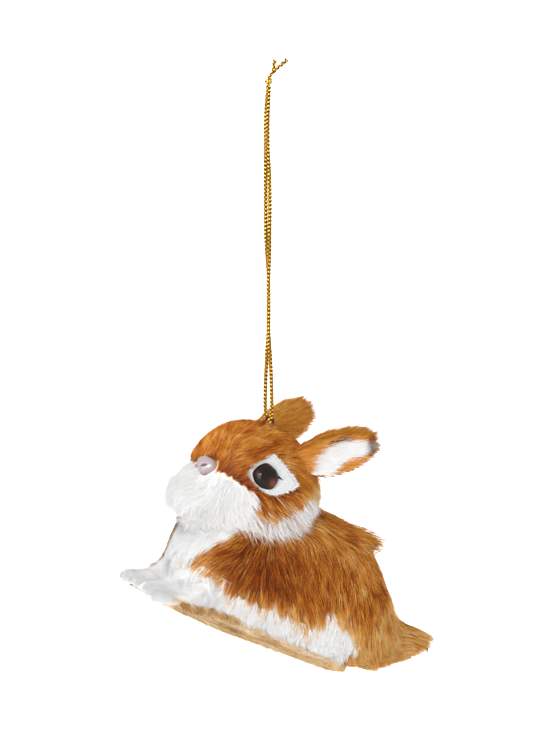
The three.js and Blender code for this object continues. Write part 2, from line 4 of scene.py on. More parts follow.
import bpy
import numpy as np
from mathutils import Matrix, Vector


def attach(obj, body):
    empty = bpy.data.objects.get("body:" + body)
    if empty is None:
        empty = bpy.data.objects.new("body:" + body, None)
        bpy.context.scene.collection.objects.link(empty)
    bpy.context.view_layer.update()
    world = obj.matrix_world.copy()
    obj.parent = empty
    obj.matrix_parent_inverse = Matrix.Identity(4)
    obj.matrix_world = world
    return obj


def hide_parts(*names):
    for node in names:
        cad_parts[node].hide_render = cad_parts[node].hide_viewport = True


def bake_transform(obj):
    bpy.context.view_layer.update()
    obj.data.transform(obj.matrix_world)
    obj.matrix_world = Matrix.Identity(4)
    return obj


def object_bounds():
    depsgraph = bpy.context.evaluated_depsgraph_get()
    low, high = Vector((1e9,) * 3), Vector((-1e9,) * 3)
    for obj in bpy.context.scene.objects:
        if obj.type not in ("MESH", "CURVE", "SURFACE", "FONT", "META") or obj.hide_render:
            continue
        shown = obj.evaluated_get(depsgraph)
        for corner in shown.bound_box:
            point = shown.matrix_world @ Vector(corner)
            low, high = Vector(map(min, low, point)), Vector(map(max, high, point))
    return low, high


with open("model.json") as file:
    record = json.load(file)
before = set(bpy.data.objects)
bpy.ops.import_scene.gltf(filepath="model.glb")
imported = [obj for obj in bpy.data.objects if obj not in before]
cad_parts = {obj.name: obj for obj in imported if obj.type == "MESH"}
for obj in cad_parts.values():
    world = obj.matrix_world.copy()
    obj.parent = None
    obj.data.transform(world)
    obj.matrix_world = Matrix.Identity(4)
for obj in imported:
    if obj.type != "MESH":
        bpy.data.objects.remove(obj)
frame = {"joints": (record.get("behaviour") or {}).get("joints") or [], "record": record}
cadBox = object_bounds()
print("frame loaded")

# The rabbit is laid out standing, in millimetres: x runs to the tail, its left side is -y, and z is up from
# the base. toFrame tips it to hang from the hinge, in metres.
mm = 0.001
mounts = {m["name"]: m for m in frame["record"]["mounts"]}
joints = {j["name"]: j for j in frame["joints"]}
hinge = np.array(joints["ring_rock"]["pos_m"], float)
downWay = np.array(mounts["base"]["axis"], float)
hingeHigh = (np.array(mounts["base"]["pos_m"], float) - hinge) @ downWay
acrossWay = np.array([0.0, 1.0, 0.0])
standing = np.stack([np.cross(acrossWay, -downWay), acrossWay, -downWay])


def toFrame(points):
    return hinge + hingeHigh * downWay + (points * mm) @ standing


# Vectors brought to length 1
def unit(v):
    return v / np.maximum(np.linalg.norm(v, axis=-1, keepdims=True), 1e-9)


# Camera: the photograph's view, from the front left and a little above
view = {
    "turn": -22.0,  # degrees round from the rabbit's left side
    "rise": 14.0,
    "away": 4.0,
    "pixelsPerMetre": 4000.0,
    "picture": (550, 734),
    "hingeAt": (268.5, 421.0),  # pixel of the bend of the cord in the ring
    "sensor": 36.0,
}


def makeCamera():
    a, e = math.radians(view["turn"]), math.radians(view["rise"])
    back = np.array([math.sin(a) * math.cos(e), -math.cos(a) * math.cos(e), math.sin(e)])
    right = np.array([math.cos(a), math.sin(a), 0.0])
    up = np.cross(back, right)
    wide, tall = view["picture"]
    toMiddle = right * (wide / 2 - view["hingeAt"][0]) + up * (view["hingeAt"][1] - tall / 2)
    spot = hinge + toMiddle / view["pixelsPerMetre"] + back * view["away"]
    lens = bpy.data.cameras.new("camera")
    lens.sensor_fit = "VERTICAL"
    lens.sensor_height = view["sensor"]
    lens.lens = view["pixelsPerMetre"] * view["away"] * view["sensor"] / tall
    camera = bpy.data.objects.new("camera", lens)
    pose = np.eye(4)
    pose[:3, 0], pose[:3, 1], pose[:3, 2], pose[:3, 3] = right, up, back, spot
    camera.matrix_world = Matrix(pose.tolist())
    bpy.context.scene.collection.objects.link(camera)
    bpy.context.scene.camera = camera


makeCamera()
print("camera placed")


# Meshes from arrays: quads and triangles by vertex number, mark a place in the colour map for each vertex,
# and shine a normal for each where the faces' own won't do
def makePiece(name, points, quads, tris, mark=None, shine=None):
    mesh = bpy.data.meshes.new(name)
    quads = np.asarray(quads, np.int32).reshape(-1, 4)
    tris = np.asarray(tris, np.int32).reshape(-1, 3)
    corners = np.concatenate([quads.ravel(), tris.ravel()])
    triStarts = quads.size + np.arange(len(tris)) * 3
    starts = np.concatenate([np.arange(len(quads)) * 4, triStarts]).astype(np.int32)
    mesh.vertices.add(len(points))
    mesh.vertices.foreach_set("co", np.asarray(points, np.float32).ravel())
    mesh.loops.add(len(corners))
    mesh.loops.foreach_set("vertex_index", corners)
    mesh.polygons.add(len(starts))
    mesh.polygons.foreach_set("loop_start", starts)
    mesh.polygons.foreach_set("use_smooth", np.ones(len(starts), bool))
    if mark is not None:
        layer = mesh.uv_layers.new(name="OFBake")
        layer.uv.foreach_set("vector", np.asarray(mark, np.float32)[corners].ravel())
    mesh.update(calc_edges=True)
    mesh.validate()
    if shine is not None:
        mesh.normals_split_custom_set_from_vertices(shine.tolist())
    piece = bpy.data.objects.new(name, mesh)
    bpy.context.scene.collection.objects.link(piece)
    return piece


# Finish, body and CAD node of a piece
def dress(piece, finish, node, body="rabbit"):
    piece.data.materials.append(finish)
    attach(piece, body)
    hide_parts(node)
    return piece


# A piece of the rabbit, given as it stands
def place(name, points, quads, tris, mark, shine, finish, node, slotName):
    turned = None if shine is None else shine @ standing
    return dress(makePiece(name, toFrame(points), quads, tris, mark, turned), finish, node)


noTris = np.zeros((0, 3), int)


# Several meshes as one; a part without normals keeps those of its faces
def joined(parts):
    points, quads, tris, marks, shine = [], [], [], [], []
    first = 0
    for p, q, t, m, *n in parts:
        points.append(p)
        quads.append(np.asarray(q, np.int64).reshape(-1, 4) + first)
        tris.append(np.asarray(t, np.int64).reshape(-1, 3) + first)
        marks.append(m)
        shine.append(n[0] if n else np.zeros_like(p))
        first += len(p)
    return [np.concatenate(a) for a in (points, quads, tris, marks, shine)]


# Quads of a grid of rows by cols points, whose rows close on themselves
def ringQuads(rows, cols, closed=False):
    r, c = np.meshgrid(np.arange(rows if closed else rows - 1), np.arange(cols), indexing="ij")
    n, up = (c + 1) % cols, (r + 1) % rows
    return np.stack([r * cols + c, r * cols + n, up * cols + n, up * cols + c], -1).reshape(-1, 4)


# A stack of rings of points, joined by quads and closed by a fan at each end
def capped(rings):
    rows, sides = rings.shape[:2]
    points = np.concatenate([rings.reshape(-1, 3), rings[[0, -1]].mean(1)])
    k = np.arange(sides)
    n = (k + 1) % sides
    last = (rows - 1) * sides
    foot = np.stack([n, k, np.full(sides, rows * sides)], -1)
    head = np.stack([last + k, last + n, np.full(sides, rows * sides + 1)], -1)
    return points, ringQuads(rows, sides), np.concatenate([foot, head])


# A profile of so many sides carried along a path: centre + a cos t + b sin t
def sweep(centre, a, b, sides):
    t = np.arange(sides) / sides * 2 * np.pi
    return capped(centre[:, None] + a[:, None] * np.cos(t)[None, :, None]
                  + b[:, None] * np.sin(t)[None, :, None])


# A closed sheet between two grids of points; across the rows, wrap joins the last column to the first
def slab(top, bottom, wrap=False):
    rows, cols = top.shape[:2]
    r, c = np.meshgrid(np.arange(rows - 1), np.arange(cols if wrap else cols - 1), indexing="ij")
    n = (c + 1) % cols
    a, b, d, e = r * cols + c, (r + 1) * cols + c, (r + 1) * cols + n, r * cols + n
    face = np.stack([a, b, d, e], -1).reshape(-1, 4)
    count = rows * cols
    walls = [(e[0], a[0]), (b[-1], d[-1])] + ([] if wrap else [(a[:, 0], b[:, 0]), (d[:, -1], e[:, -1])])
    rim = [np.stack([q, p, p + count, q + count], -1) for p, q in walls]
    points = np.concatenate([top.reshape(-1, 3), bottom.reshape(-1, 3)])
    return points, np.concatenate([face, face[:, ::-1] + count] + rim)


# The same piece on the other side of the rabbit
def mirrored(points, quads, tris, mark, shine):
    flip = np.array([1, -1, 1])
    return points * flip, quads[:, ::-1], tris[:, ::-1], mark, None if shine is None else shine * flip


# Materials. A colour of 0 to 255, as seen on a screen, turned to linear light
def tone(red, green, blue):
    s = np.array([red, green, blue]) / 255
    return tuple(np.where(s <= 0.04045, s / 12.92, ((s + 0.055) / 1.055) ** 2.4)) + (1.0,)


def newFinish(name, **sockets):
    material = bpy.data.materials.new(name)
    material.use_nodes = True
    nodes = material.node_tree.nodes
    shader = nodes["Principled BSDF"]
    for socket, value in sockets.items():
        shader.inputs[socket.replace("_", " ")].default_value = value
    return material, nodes, material.node_tree.links, shader


def ramp(nodes, links, source, stops):
    node = nodes.new("ShaderNodeValToRGB")
    elements = node.color_ramp.elements
    for element, (spot, colour) in zip((elements[0], elements[-1]), (stops[0], stops[-1])):
        element.position, element.color = spot, colour
    for spot, colour in stops[1:-1]:
        elements.new(spot).color = colour
    links.new(source, node.inputs["Fac"])
    return node.outputs["Color"]


def blendTones(nodes, links, share, first, second):
    node = nodes.new("ShaderNodeMix")
    node.data_type = "RGBA"
    named = {s.identifier: s for s in node.inputs}
    for socket, source in (("Factor_Float", share), ("A_Color", first), ("B_Color", second)):
        links.new(source, named[socket])
    return next(s for s in node.outputs if s.identifier == "Result_Color")


# The two places of the colour map
def chartSplit(nodes, links):
    chart = nodes.new("ShaderNodeUVMap")
    chart.uv_map = "OFBake"
    split = nodes.new("ShaderNodeSeparateXYZ")
    links.new(chart.outputs["UV"], split.inputs["Vector"])
    return split.outputs


# A finish whose colour follows the first place of the colour map
def makeChartFinish(name, stops, **sockets):
    material, nodes, links, shader = newFinish(name, **sockets)
    spot = chartSplit(nodes, links)["X"]
    links.new(ramp(nodes, links, spot, [(k, tone(*c)) for k, c in stops]), shader.inputs["Base Color"])
    return material


# A finish mottled by noise, turned with the rabbit as it hangs
def makeFinish(name, colours, fine, stretch=(1, 1, 1), **sockets):
    material, nodes, links, shader = newFinish(name, **sockets)
    coords = nodes.new("ShaderNodeTexCoord")
    turnBy = nodes.new("ShaderNodeMapping")
    turnBy.inputs["Rotation"].default_value = (0, -math.asin(downWay[0]), 0)
    turnBy.inputs["Scale"].default_value = stretch
    noise = nodes.new("ShaderNodeTexNoise")
    noise.inputs["Scale"].default_value = fine
    noise.inputs["Detail"].default_value = 4.0
    links.new(coords.outputs["Object"], turnBy.inputs["Vector"])
    links.new(turnBy.outputs["Vector"], noise.inputs["Vector"])
    stops = [(k, tone(*c)) for k, c in colours]
    links.new(ramp(nodes, links, noise.outputs["Fac"], stops), shader.inputs["Base Color"])
    return material


# Hair colours by their place on the map, from white through grey, cream, gold and brown to black, at the root
# and at the tip. Roots are darker than tips: partly the fur's own colour, partly painted shade between the
# locks and painted highlight on the tips.
coatTones = {
    "place": (0.0, 0.14, 0.28, 0.42, 0.56, 0.7, 0.85, 1.0),
    "tip": ((253, 253, 253), (238, 238, 238), (242, 214, 166), (246, 190, 92),
            (230, 150, 46), (204, 106, 26), (150, 62, 14), (40, 26, 18)),
    "root": ((250, 249, 247), (224, 222, 219), (222, 180, 120), (196, 122, 38),
             (162, 84, 17), (126, 54, 11), (88, 34, 8), (22, 14, 10)),
}


# The second place of the map leads from the root's colour to the tip's: the fur's own colour with painted
# shade at the roots and painted highlight at the tips
def makeCoatFinish():
    material, nodes, links, shader = newFinish("hair", Roughness=0.5, Specular_IOR_Level=0.1)
    chart = chartSplit(nodes, links)
    root, tip = (ramp(nodes, links, chart["X"],
                      [(k, tone(*c)) for k, c in zip(coatTones["place"], coatTones[end])])
                 for end in ("root", "tip"))
    links.new(blendTones(nodes, links, chart["Y"], root, tip), shader.inputs["Base Color"])
    return material


hairFinish = makeCoatFinish()

# Forms of the rabbit: rows of share along, half width, bottom, top and widest level. A power of 1 rounds the
# section to an ellipse and a lower one squares it; lowPower holds below the widest level.
bodyForm = {
    "front": -9.6, "long": 62.0, "wide": 30.0, "tall": 33.2, "base": 2.5, "side": 0.0,
    "power": 0.8, "lowPower": 0.45,
    "rows": np.array([
        [-0.018, 0.0, 0.3, 0.32, 0.31], [0.012, 0.42, 0.1, 0.5, 0.3], [0.042, 0.66, 0.02, 0.64, 0.32],
        [0.1, 0.86, -0.03, 0.8, 0.3], [0.22, 0.97, -0.03, 0.9, 0.28], [0.36, 1.0, -0.03, 0.96, 0.27],
        [0.52, 1.0, -0.03, 1.0, 0.27], [0.68, 1.0, -0.03, 0.97, 0.26], [0.78, 0.98, -0.03, 0.85, 0.25],
        [0.87, 0.9, -0.01, 0.69, 0.25], [0.94, 0.72, 0.06, 0.54, 0.27], [0.985, 0.46, 0.13, 0.43, 0.28],
        [1.01, 0.0, 0.28, 0.3, 0.29],
    ]),
}
headForm = {
    "front": -17.4, "long": 37.0, "wide": 27.0, "tall": 29.6, "base": 21.8, "side": 0.0, "power": 0.9,
    "rows": np.array([
        [0.015, 0.0, 0.19, 0.21, 0.2], [0.03, 0.24, 0.12, 0.3, 0.2], [0.055, 0.46, 0.07, 0.36, 0.2],
        [0.09, 0.64, 0.03, 0.42, 0.21], [0.117, 0.71, 0.01, 0.52, 0.25], [0.137, 0.76, 0.0, 0.67, 0.32],
        [0.17, 0.82, 0.0, 0.8, 0.37], [0.25, 0.9, 0.0, 0.905, 0.4], [0.36, 0.96, 0.0, 0.97, 0.42],
        [0.5, 1.0, 0.01, 1.0, 0.43], [0.66, 1.0, 0.05, 0.97, 0.45], [0.81, 0.9, 0.13, 0.87, 0.48],
        [0.9, 0.7, 0.24, 0.74, 0.5], [0.97, 0.34, 0.4, 0.6, 0.5], [0.99, 0.0, 0.49, 0.51, 0.5],
    ]),
}
pawForm = {
    "front": -15.2, "long": 14.5, "wide": 10.4, "tall": 10.6, "base": 0.66, "side": -10.5, "power": 0.85,
    "rows": np.array([
        [-0.03, 0.0, 0.1, 0.14, 0.12], [0.0, 0.5, 0.0, 0.26, 0.12], [0.07, 0.75, 0.0, 0.33, 0.14],
        [0.22, 0.92, 0.0, 0.4, 0.17], [0.4, 1.0, 0.0, 0.5, 0.2], [0.52, 1.0, 0.0, 0.64, 0.24],
        [0.62, 1.0, 0.0, 0.82, 0.28], [0.74, 0.96, 0.0, 0.96, 0.32], [0.95, 0.76, 0.0, 1.02, 0.36],
        [1.2, 0.4, 0.0, 0.96, 0.4], [1.4, 0.16, 0.1, 0.8, 0.44], [1.5, 0.0, 0.46, 0.5, 0.48],
    ]),
}
pawRight = {**pawForm, "side": -pawForm["side"]}
# The fur that joins the paws, with a straight front
apronForm = {
    "front": -15.0, "long": 14.5, "wide": 22.0, "tall": 10.4, "base": 0.66, "side": 0.0,
    "power": 0.35, "lowPower": 0.2,
    "rows": np.array([
        [-0.03, 0.92, 0.1, 0.14, 0.12], [0.0, 0.96, 0.0, 0.26, 0.12], [0.07, 1.0, 0.0, 0.33, 0.14],
        [0.22, 1.0, 0.0, 0.42, 0.17], [0.4, 1.0, 0.0, 0.58, 0.22], [0.6, 1.0, 0.0, 0.8, 0.28],
        [0.95, 1.0, 0.0, 0.9, 0.33],
    ]),
}


def inHead(along, up):
    return headForm["front"] + along * headForm["long"], headForm["base"] + up * headForm["tall"]


def inBody(along, up):
    return bodyForm["front"] + along * bodyForm["long"], bodyForm["base"] + up * bodyForm["tall"]


# Rows at the given shares: a cubic between each two rows, with slopes that don't overshoot
def through(rows, at):
    x, y = rows[:, 0], rows[:, 1:]
    h = np.diff(x)[:, None]
    rise = np.diff(y, axis=0) / h
    both = rise[1:] * rise[:-1]
    slope = np.zeros_like(y)
    slope[1:-1] = np.where(both > 0, 2 * both / np.where(both > 0, rise[1:] + rise[:-1], 1), 0)
    slope[0], slope[-1] = rise[0], rise[-1]
    k = np.clip(np.searchsorted(x, at, side="right") - 1, 0, len(h) - 1)
    w = h[k]
    t = (at - x[k])[:, None] / w
    start = y[k] * (1 + 2 * t) * (1 - t) ** 2 + slope[k] * w * t * (1 - t) ** 2
    return start + y[k + 1] * t * t * (3 - 2 * t) + slope[k + 1] * w * t * t * (t - 1)


# A power that keeps the sign
def bulge(v, power):
    return np.sign(v) * np.abs(v) ** power


# A point on a form: share along it, and a turn round its section, half width times cos and reach times sin,
# each raised to the form's power
def onForm(form, at, turn):
    wide, low, high, mid = through(form["rows"], at).T
    power = np.where(np.sin(turn) < 0, form.get("lowPower", form["power"]), form["power"])
    c, s = bulge(np.cos(turn), power), bulge(np.sin(turn), power)
    reach = np.where(s > 0, high - mid, mid - low) * form["tall"]
    y = form["side"] + np.maximum(wide, 0) * form["wide"] / 2 * c
    z = form["base"] + mid * form["tall"] + s * reach
    return np.stack([form["front"] + at * form["long"], y, z], -1)


# The outward normal there: the cross product of small steps round and along
def outOf(form, at, turn):
    step, twist = 0.003, 0.012
    alongWay = onForm(form, at + step, turn) - onForm(form, at - step, turn)
    roundWay = onForm(form, at, turn + twist) - onForm(form, at, turn - twist)
    return unit(np.cross(roundWay, alongWay))


# Moves points in or out from the middle of their section until they stand so high over the form
def settle(form, points, height, only=None):
    first, last = form["rows"][0, 0], form["rows"][-1, 0]
    at = (points[:, 0] - form["front"]) / form["long"]
    wide, low, high, mid = through(form["rows"], np.clip(at, first + 0.03, last - 0.03)).T
    y = points[:, 1] - form["side"]
    z = points[:, 2] - form["base"] - mid * form["tall"]
    span = np.where(z > 0, high - mid, mid - low) * form["tall"]
    e = 2 / np.where(z < 0, form.get("lowPower", form["power"]), form["power"])
    far = (np.abs(2 * y / (wide * form["wide"])) ** e + np.abs(z / span) ** e) ** (1 / e)
    r = np.hypot(y, z) + 1e-6
    goal = r / np.maximum(far, 0.05) + height
    grow = goal / r
    within = (at > first + 0.06) & (at < last - 0.06)
    if only == "out":
        within &= grow > 1
    grow = np.where(within, np.clip(grow, 0.6, 3.0), 1.0)
    moved = points.copy()
    moved[:, 1] = form["side"] + y * grow
    moved[:, 2] = points[:, 2] + z * (grow - 1)
    return moved


# True where points lie inside an outline in the side view
def inside(outline, x, z):
    hit = np.zeros(np.shape(x), bool)
    for (ax, az), (bx, bz) in zip(outline, outline[1:] + outline[:1]):
        crosses = (az > z) != (bz > z)
        hit ^= crosses & (x < ax + (z - az) * (bx - ax) / (bz - az + 1e-12))
    return hit


# Smooth wandering values from about -1 to 1: a few sine waves in set directions
def waves(points, size, seed):
    pick = np.random.default_rng(seed)
    ways = pick.normal(size=(6, 3)) * 3.6 / size
    return np.sin(points @ ways.T + pick.uniform(0, 2 * np.pi, 6)).sum(1) / 2.6


# Hairs: three-sided, tapered, on a quadratic curve from root past bend to tip, each closed at its root. They
# are shaded with the coat: their normals lean to out, the normal of the skin, and by own to their sides.
def hairs(root, bend, tip, width, shade, steps, out, own=0.45):
    n = len(root)
    s = np.linspace(0, 1, steps + 1)[:-1]
    a, b, c = ((1 - s) ** 2)[None, :, None], (2 * s * (1 - s))[None, :, None], (s * s)[None, :, None]
    centre = a * root[:, None] + b * bend[:, None] + c * tip[:, None]
    along = unit(tip - root)
    side = unit(np.cross(along, np.array([0.31, 0.84, 0.45])))
    other = np.cross(along, side)
    t = np.arange(3) / 3 * 2 * np.pi
    spoke = side[:, None] * np.cos(t)[None, :, None] + other[:, None] * np.sin(t)[None, :, None]
    thick = np.interp(s, [0, 0.35, 0.7, 1], [0.8, 1.0, 0.7, 0.0])
    reach = thick[None, :, None, None] * width[:, None, None, None] / 2
    rings = centre[:, :, None] + spoke[:, None] * reach
    each = steps * 3 + 1
    points = np.concatenate([rings.reshape(n, steps * 3, 3), tip[:, None]], 1).reshape(-1, 3)
    first = (np.arange(n) * each)[:, None, None]
    k = np.arange(3)
    quad = [np.stack([3 * r + k, 3 * r + (k + 1) % 3, 3 * r + 3 + (k + 1) % 3, 3 * r + 3 + k], -1)
            for r in range(steps - 1)]
    end = np.stack([3 * (steps - 1) + k, 3 * (steps - 1) + (k + 1) % 3, np.full(3, each - 1)], -1)
    tri = np.concatenate([[[2, 1, 0]], end])
    quads = (first + np.concatenate(quad)[None]).reshape(-1, 4)
    tris = (first + tri[None]).reshape(-1, 3)
    sliver = np.array([-0.003, 0.003, 0.0])  # keeps each face's place on the colour map from closing up
    u = (shade[:, None, None] + np.tile(sliver, (1, steps, 1))).reshape(n, -1)
    u = np.concatenate([u, shade[:, None]], 1)
    v = np.tile(np.append(np.repeat(s, 3), 1.0), (n, 1))
    shine = np.tile(out[:, None, None] + own * spoke[:, None], (1, steps, 1, 1)).reshape(n, steps * 3, 3)
    shine = unit(np.concatenate([shine, out[:, None]], 1).reshape(-1, 3))
    return points, quads, tris, np.stack([np.clip(u, 0.004, 0.996), v], -1).reshape(-1, 2), shine


# Normals with so much of their downward part taken away: hair that hangs is lit as an upright face
def upright(n, share):
    return unit(n + np.reshape(share, (-1, 1)) * np.maximum(-n[:, 2:], 0) * [0, 0, 1])


# The hide under the hair: the form's own grid, drawn in so deep, where the patch lies, closed by an inner
# face and its edges
def hide(points, out, mine, deep, thick, shade, lit):
    rows, cols = mine.shape
    outer = (points - out * deep).reshape(-1, 3)
    inner = (points - out * (deep + thick)).reshape(-1, 3)
    count = len(outer)
    r, c = np.nonzero(mine)
    n = (c + 1) % cols
    a, b, d, e = r * cols + c, r * cols + n, (r + 1) * cols + n, (r + 1) * cols + c
    faces = [np.stack([a, b, d, e], -1)[:, ::-1], np.stack([a, b, d, e], -1) + count]
    edge = np.pad(mine, ((1, 1), (0, 0)))
    for bare, p, q in ((~edge[:-2][r, c], a, b), (~edge[2:][r, c], d, e),
                       (~np.roll(mine, -1, 1)[r, c], b, d), (~np.roll(mine, 1, 1)[r, c], e, a)):
        faces.append(np.stack([p, q, q + count, p + count], -1)[bare])
    quads = np.concatenate(faces)[:, ::-1]
    used, quads = np.unique(quads, return_inverse=True)
    both = np.concatenate([outer, inner])[used]
    mark = np.stack([np.clip(np.tile(shade.ravel(), 2)[used], 0.01, 0.99), np.full(len(used), 0.1)], -1)
    shine = np.concatenate([upright(out.reshape(-1, 3), lit), -out.reshape(-1, 3)])[used]
    return both, quads.reshape(-1, 4), noTris, mark, shine


# A smooth step from 0 at start to 1 at end
def fade(x, start, end):
    t = np.clip((x - start) / (end - start), 0, 1)
    return t * t * (3 - 2 * t)


# Cord: a gold braid, from the knot down through the ring and up again
cordSizes = {
    "thick": 1.0, "drop": 83.0, "gap": 2.1, "knotLow": 3.2, "clear": 0.1,
    "threads": 2, "lay": 2.0, "step": 0.08, "threadWide": 0.41, "threadTall": 0.2, "weave": 0.1,
    "puff": 1.2,  # outside of the braid, in shares of the cord's thickness
    "twist": 0.11,  # radians per mm that the weave turns round the cord
    # share of the drop, half the distance between the strands, sway of both, lean of each from the other
    "run": [(0.05, 0.56, -0.4, 0.04), (0.155, 0.57, -0.45, 0.06), (0.24, 0.57, -0.25, 0.3),
            (0.41, 0.56, -0.2, 0.3), (0.475, 0.56, -0.1, 0.15), (0.56, 0.56, 0.0, -0.22),
            (0.71, 0.58, 0.0, -0.22), (0.79, 0.76, 0.0, 0.12), (0.9, 0.95, 0.0, 0.45)],
}


# The route of one strand, from the knot to the ring; s is -1 on the rabbit's left and 1 on its right
def strandRoute(s):
    drop, bend = cordSizes["drop"], cordSizes["gap"] / 2
    top = [(0.09 * s, 0.56 * s, cordSizes["knotLow"] - cordSizes["clear"])]
    run = [(sway - lean * s, apart * s, -drop * share) for share, apart, sway, lean in cordSizes["run"]]
    foot = [(-0.35 * s, bend * s, -drop + bend * 1.6), (-0.1 * s, bend * 0.8 * s, -drop + bend * 0.4)]
    return top + run + foot


# Points along a curve through the route's points, so far apart: a centripetal spline, then even steps
def evenly(route, step):
    p = np.array(route, float)
    p = np.concatenate([2 * p[:1] - p[1:2], p, 2 * p[-1:] - p[-2:-1]])
    knot = np.concatenate([[0], np.cumsum(np.sqrt(np.linalg.norm(np.diff(p, axis=0), axis=1)))])
    t = np.concatenate([np.linspace(knot[k], knot[k + 1], 60, endpoint=False) for k in range(1, len(p) - 2)]
                       + [knot[-2:-1]])
    k = np.clip(np.searchsorted(knot, t, side="right") - 1, 1, len(p) - 3)

    def between(a, b, ta, tb):
        return ((tb - t) / (tb - ta))[:, None] * a + ((t - ta) / (tb - ta))[:, None] * b

    t0, t1, t2, t3 = (knot[k + j] for j in (-1, 0, 1, 2))
    a1, a2, a3 = (between(p[k + j - 1], p[k + j], knot[k + j - 1], knot[k + j]) for j in (0, 1, 2))
    curve = between(between(a1, a2, t0, t2), between(a2, a3, t1, t3), t1, t2)
    far = np.concatenate([[0], np.cumsum(np.linalg.norm(np.diff(curve, axis=0), axis=1))])
    count = int(far[-1] / step) + 1
    return np.stack([np.interp(np.linspace(0, far[-1], count), far, curve[:, j]) for j in range(3)], -1)


# Flat threads in two opposite helices, which pass over and under where they cross
def braid(path, size):
    far = np.concatenate([[0], np.cumsum(np.linalg.norm(np.diff(path, axis=0), axis=1))])
    along = unit(np.gradient(path, axis=0))
    first = unit(np.cross(along, np.array([1.0, 0.05, 0.02])))
    second = np.cross(along, first)
    turn = 2 * np.pi * far / size["lay"]
    reach = size["thick"] * size["puff"] / 2 - size["weave"] - size["threadTall"] / 2
    parts = []
    for way in (1, -1):
        for k in range(size["threads"]):
            angle = way * (turn + 2 * np.pi * k / size["threads"]) + size["twist"] * far
            out = first * np.cos(angle)[:, None] + second * np.sin(angle)[:, None]
            over = way * np.cos(size["threads"] * turn)
            loose = size.get("fray", 0) * fade(far / far[-1], 0.45, 1.0) * (1 + 0.5 * np.cos(5 * k + way))
            lift = (reach + size["weave"] * over) * (1 + loose)
            centre = path + out * lift[:, None]
            run = unit(np.gradient(centre, axis=0))
            flat = unit(np.cross(run, out))
            p, q, t = sweep(centre, out * size["threadTall"] / 2, flat * size["threadWide"] / 2, 6)
            # Painted shade where the thread dives under its neighbour, painted highlight where it rides over
            paintedLight = np.concatenate([np.repeat(0.5 + 0.45 * over, 6), [0.5, 0.5]])
            parts.append((p, q, t, np.stack([paintedLight, np.full(len(p), (k + 0.5) / 4 + (way > 0) * 0.5)], -1)))
    # A dark core between the threads: painted shade in the gaps of the braid
    if "fray" not in size:
        wide = reach - size["weave"] * 0.6
        p, q, t = sweep(path[::3], first[::3] * wide, second[::3] * wide, 8)
        parts.append((p, q, t, np.tile([0.02, 0.5], (len(p), 1))))
    return joined(parts)


# Gold thread: painted shade where it dives under its neighbour and on the core, painted highlight where it
# rides over
goldTones = [(0.0, (36, 18, 2)), (0.46, (98, 57, 7)), (0.76, (192, 132, 24)), (1.0, (255, 218, 88))]
goldFinish = makeChartFinish("gold_thread", goldTones, Metallic=0.75, Roughness=0.34)


def makeCord(path):
    points, quads, tris, mark, _ = braid(path, cordSizes)
    piece = makePiece("gold_cord", points * mm, quads, tris, mark)
    piece.data.materials.append(goldFinish)
    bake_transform(piece)
    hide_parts("hanging_cord")
    return piece


cordRoute = strandRoute(-1) + [(0.0, 0.0, -cordSizes["drop"])] + strandRoute(1)[::-1]
cordPath = evenly(cordRoute, cordSizes["step"])
cordPiece = makeCord(cordPath)

# Knot: the cord wound on itself, two slanted turns drawn tight, with a stem that leans to the back
knotSizes = {
    **cordSizes, "thick": 0.95, "lay": 1.8, "puff": 1.0,
    "round": 0.5, "slant": 0.34, "middle": 4.15, "apart": 0.16,
    "stem": [(-0.1, 0, 3.4), (0.1, 0.1, 4.7), (0.6, 0.1, 5.6), (1.2, 0.05, 6.4)],
}
endSizes = {
    **cordSizes, "fray": 0.45, "lay": 2.4, "puff": 1.0,
    "front": [(1.0, -0.1, 6.0), (1.3, -0.1, 7.0), (1.45, -0.1, 8.2), (1.6, -0.1, 9.5)],
    "back": [(1.2, 0.15, 6.1), (2.2, 0.2, 7.0), (3.6, 0.25, 8.0), (5.2, 0.3, 9.2)],
}


# Braids that stay with the knot
def makeBraids(name, parts, node):
    points, quads, tris, mark, _ = joined(parts)
    dress(makePiece(name, points * mm, quads, tris, mark), goldFinish, node, "knot")


def makeKnot():
    t = np.linspace(0, 2 * np.pi, 60)
    parts = []
    for way in (-1, 1):
        lean = way * knotSizes["slant"] / knotSizes["round"] * np.cos(t + way)
        turn = np.stack([np.cos(t), np.sin(t), lean], -1) * knotSizes["round"]
        parts.append(braid(turn + [0, 0, knotSizes["middle"] + knotSizes["apart"] * way], knotSizes))
    stem = evenly(knotSizes["stem"], knotSizes["step"])
    parts.append(braid(stem, {**knotSizes, "thick": cordSizes["thick"]}))
    makeBraids("knot", parts, "cord_knot")


makeKnot()
for which in ("front", "back"):
    makeBraids("cord_tail_" + which, [braid(evenly(endSizes[which], endSizes["step"]), endSizes)],
               "cord_end_" + which)
print("knot tied")

# Face: places and directions of the eyes and the nose, on the rabbit's left; the right eye mirrors the left
eyeSizes = {
    "across": 6.0, "glassLow": 0.3, "glassHigh": 2.2,
    "cornerLow": 0.4, "cornerHigh": 0.66, "cornerLift": 0.4,
    "feltLow": -0.65, "feltHigh": 0.62, "feltDrop": 0.34, "feltHole": 0.3, "feltRough": 0.05,
    "fuzz": 16, "fuzzWide": 0.09, "fuzzShade": 0.06,  # fuzz is in hairs for each point of the felt's edge
}
eyeAt = np.array([inHead(0.458, 0)[0], -headForm["wide"] / 2 * 0.885, inHead(0, 0.635)[1]])
noseSizes = {
    "wide": 6.4, "tall": 4.8, "deep": 2.6, "low": -0.8, "square": 0.78,
    "slitAt": (0.15, -0.35), "slitLong": 0.7, "slitTall": 0.3, "slitLean": 0.6, "slitDeep": 0.6,
}
noseAt = np.array([inHead(0.138, 0)[0], -headForm["wide"] * 0.13, inHead(0, 0.483)[1]])


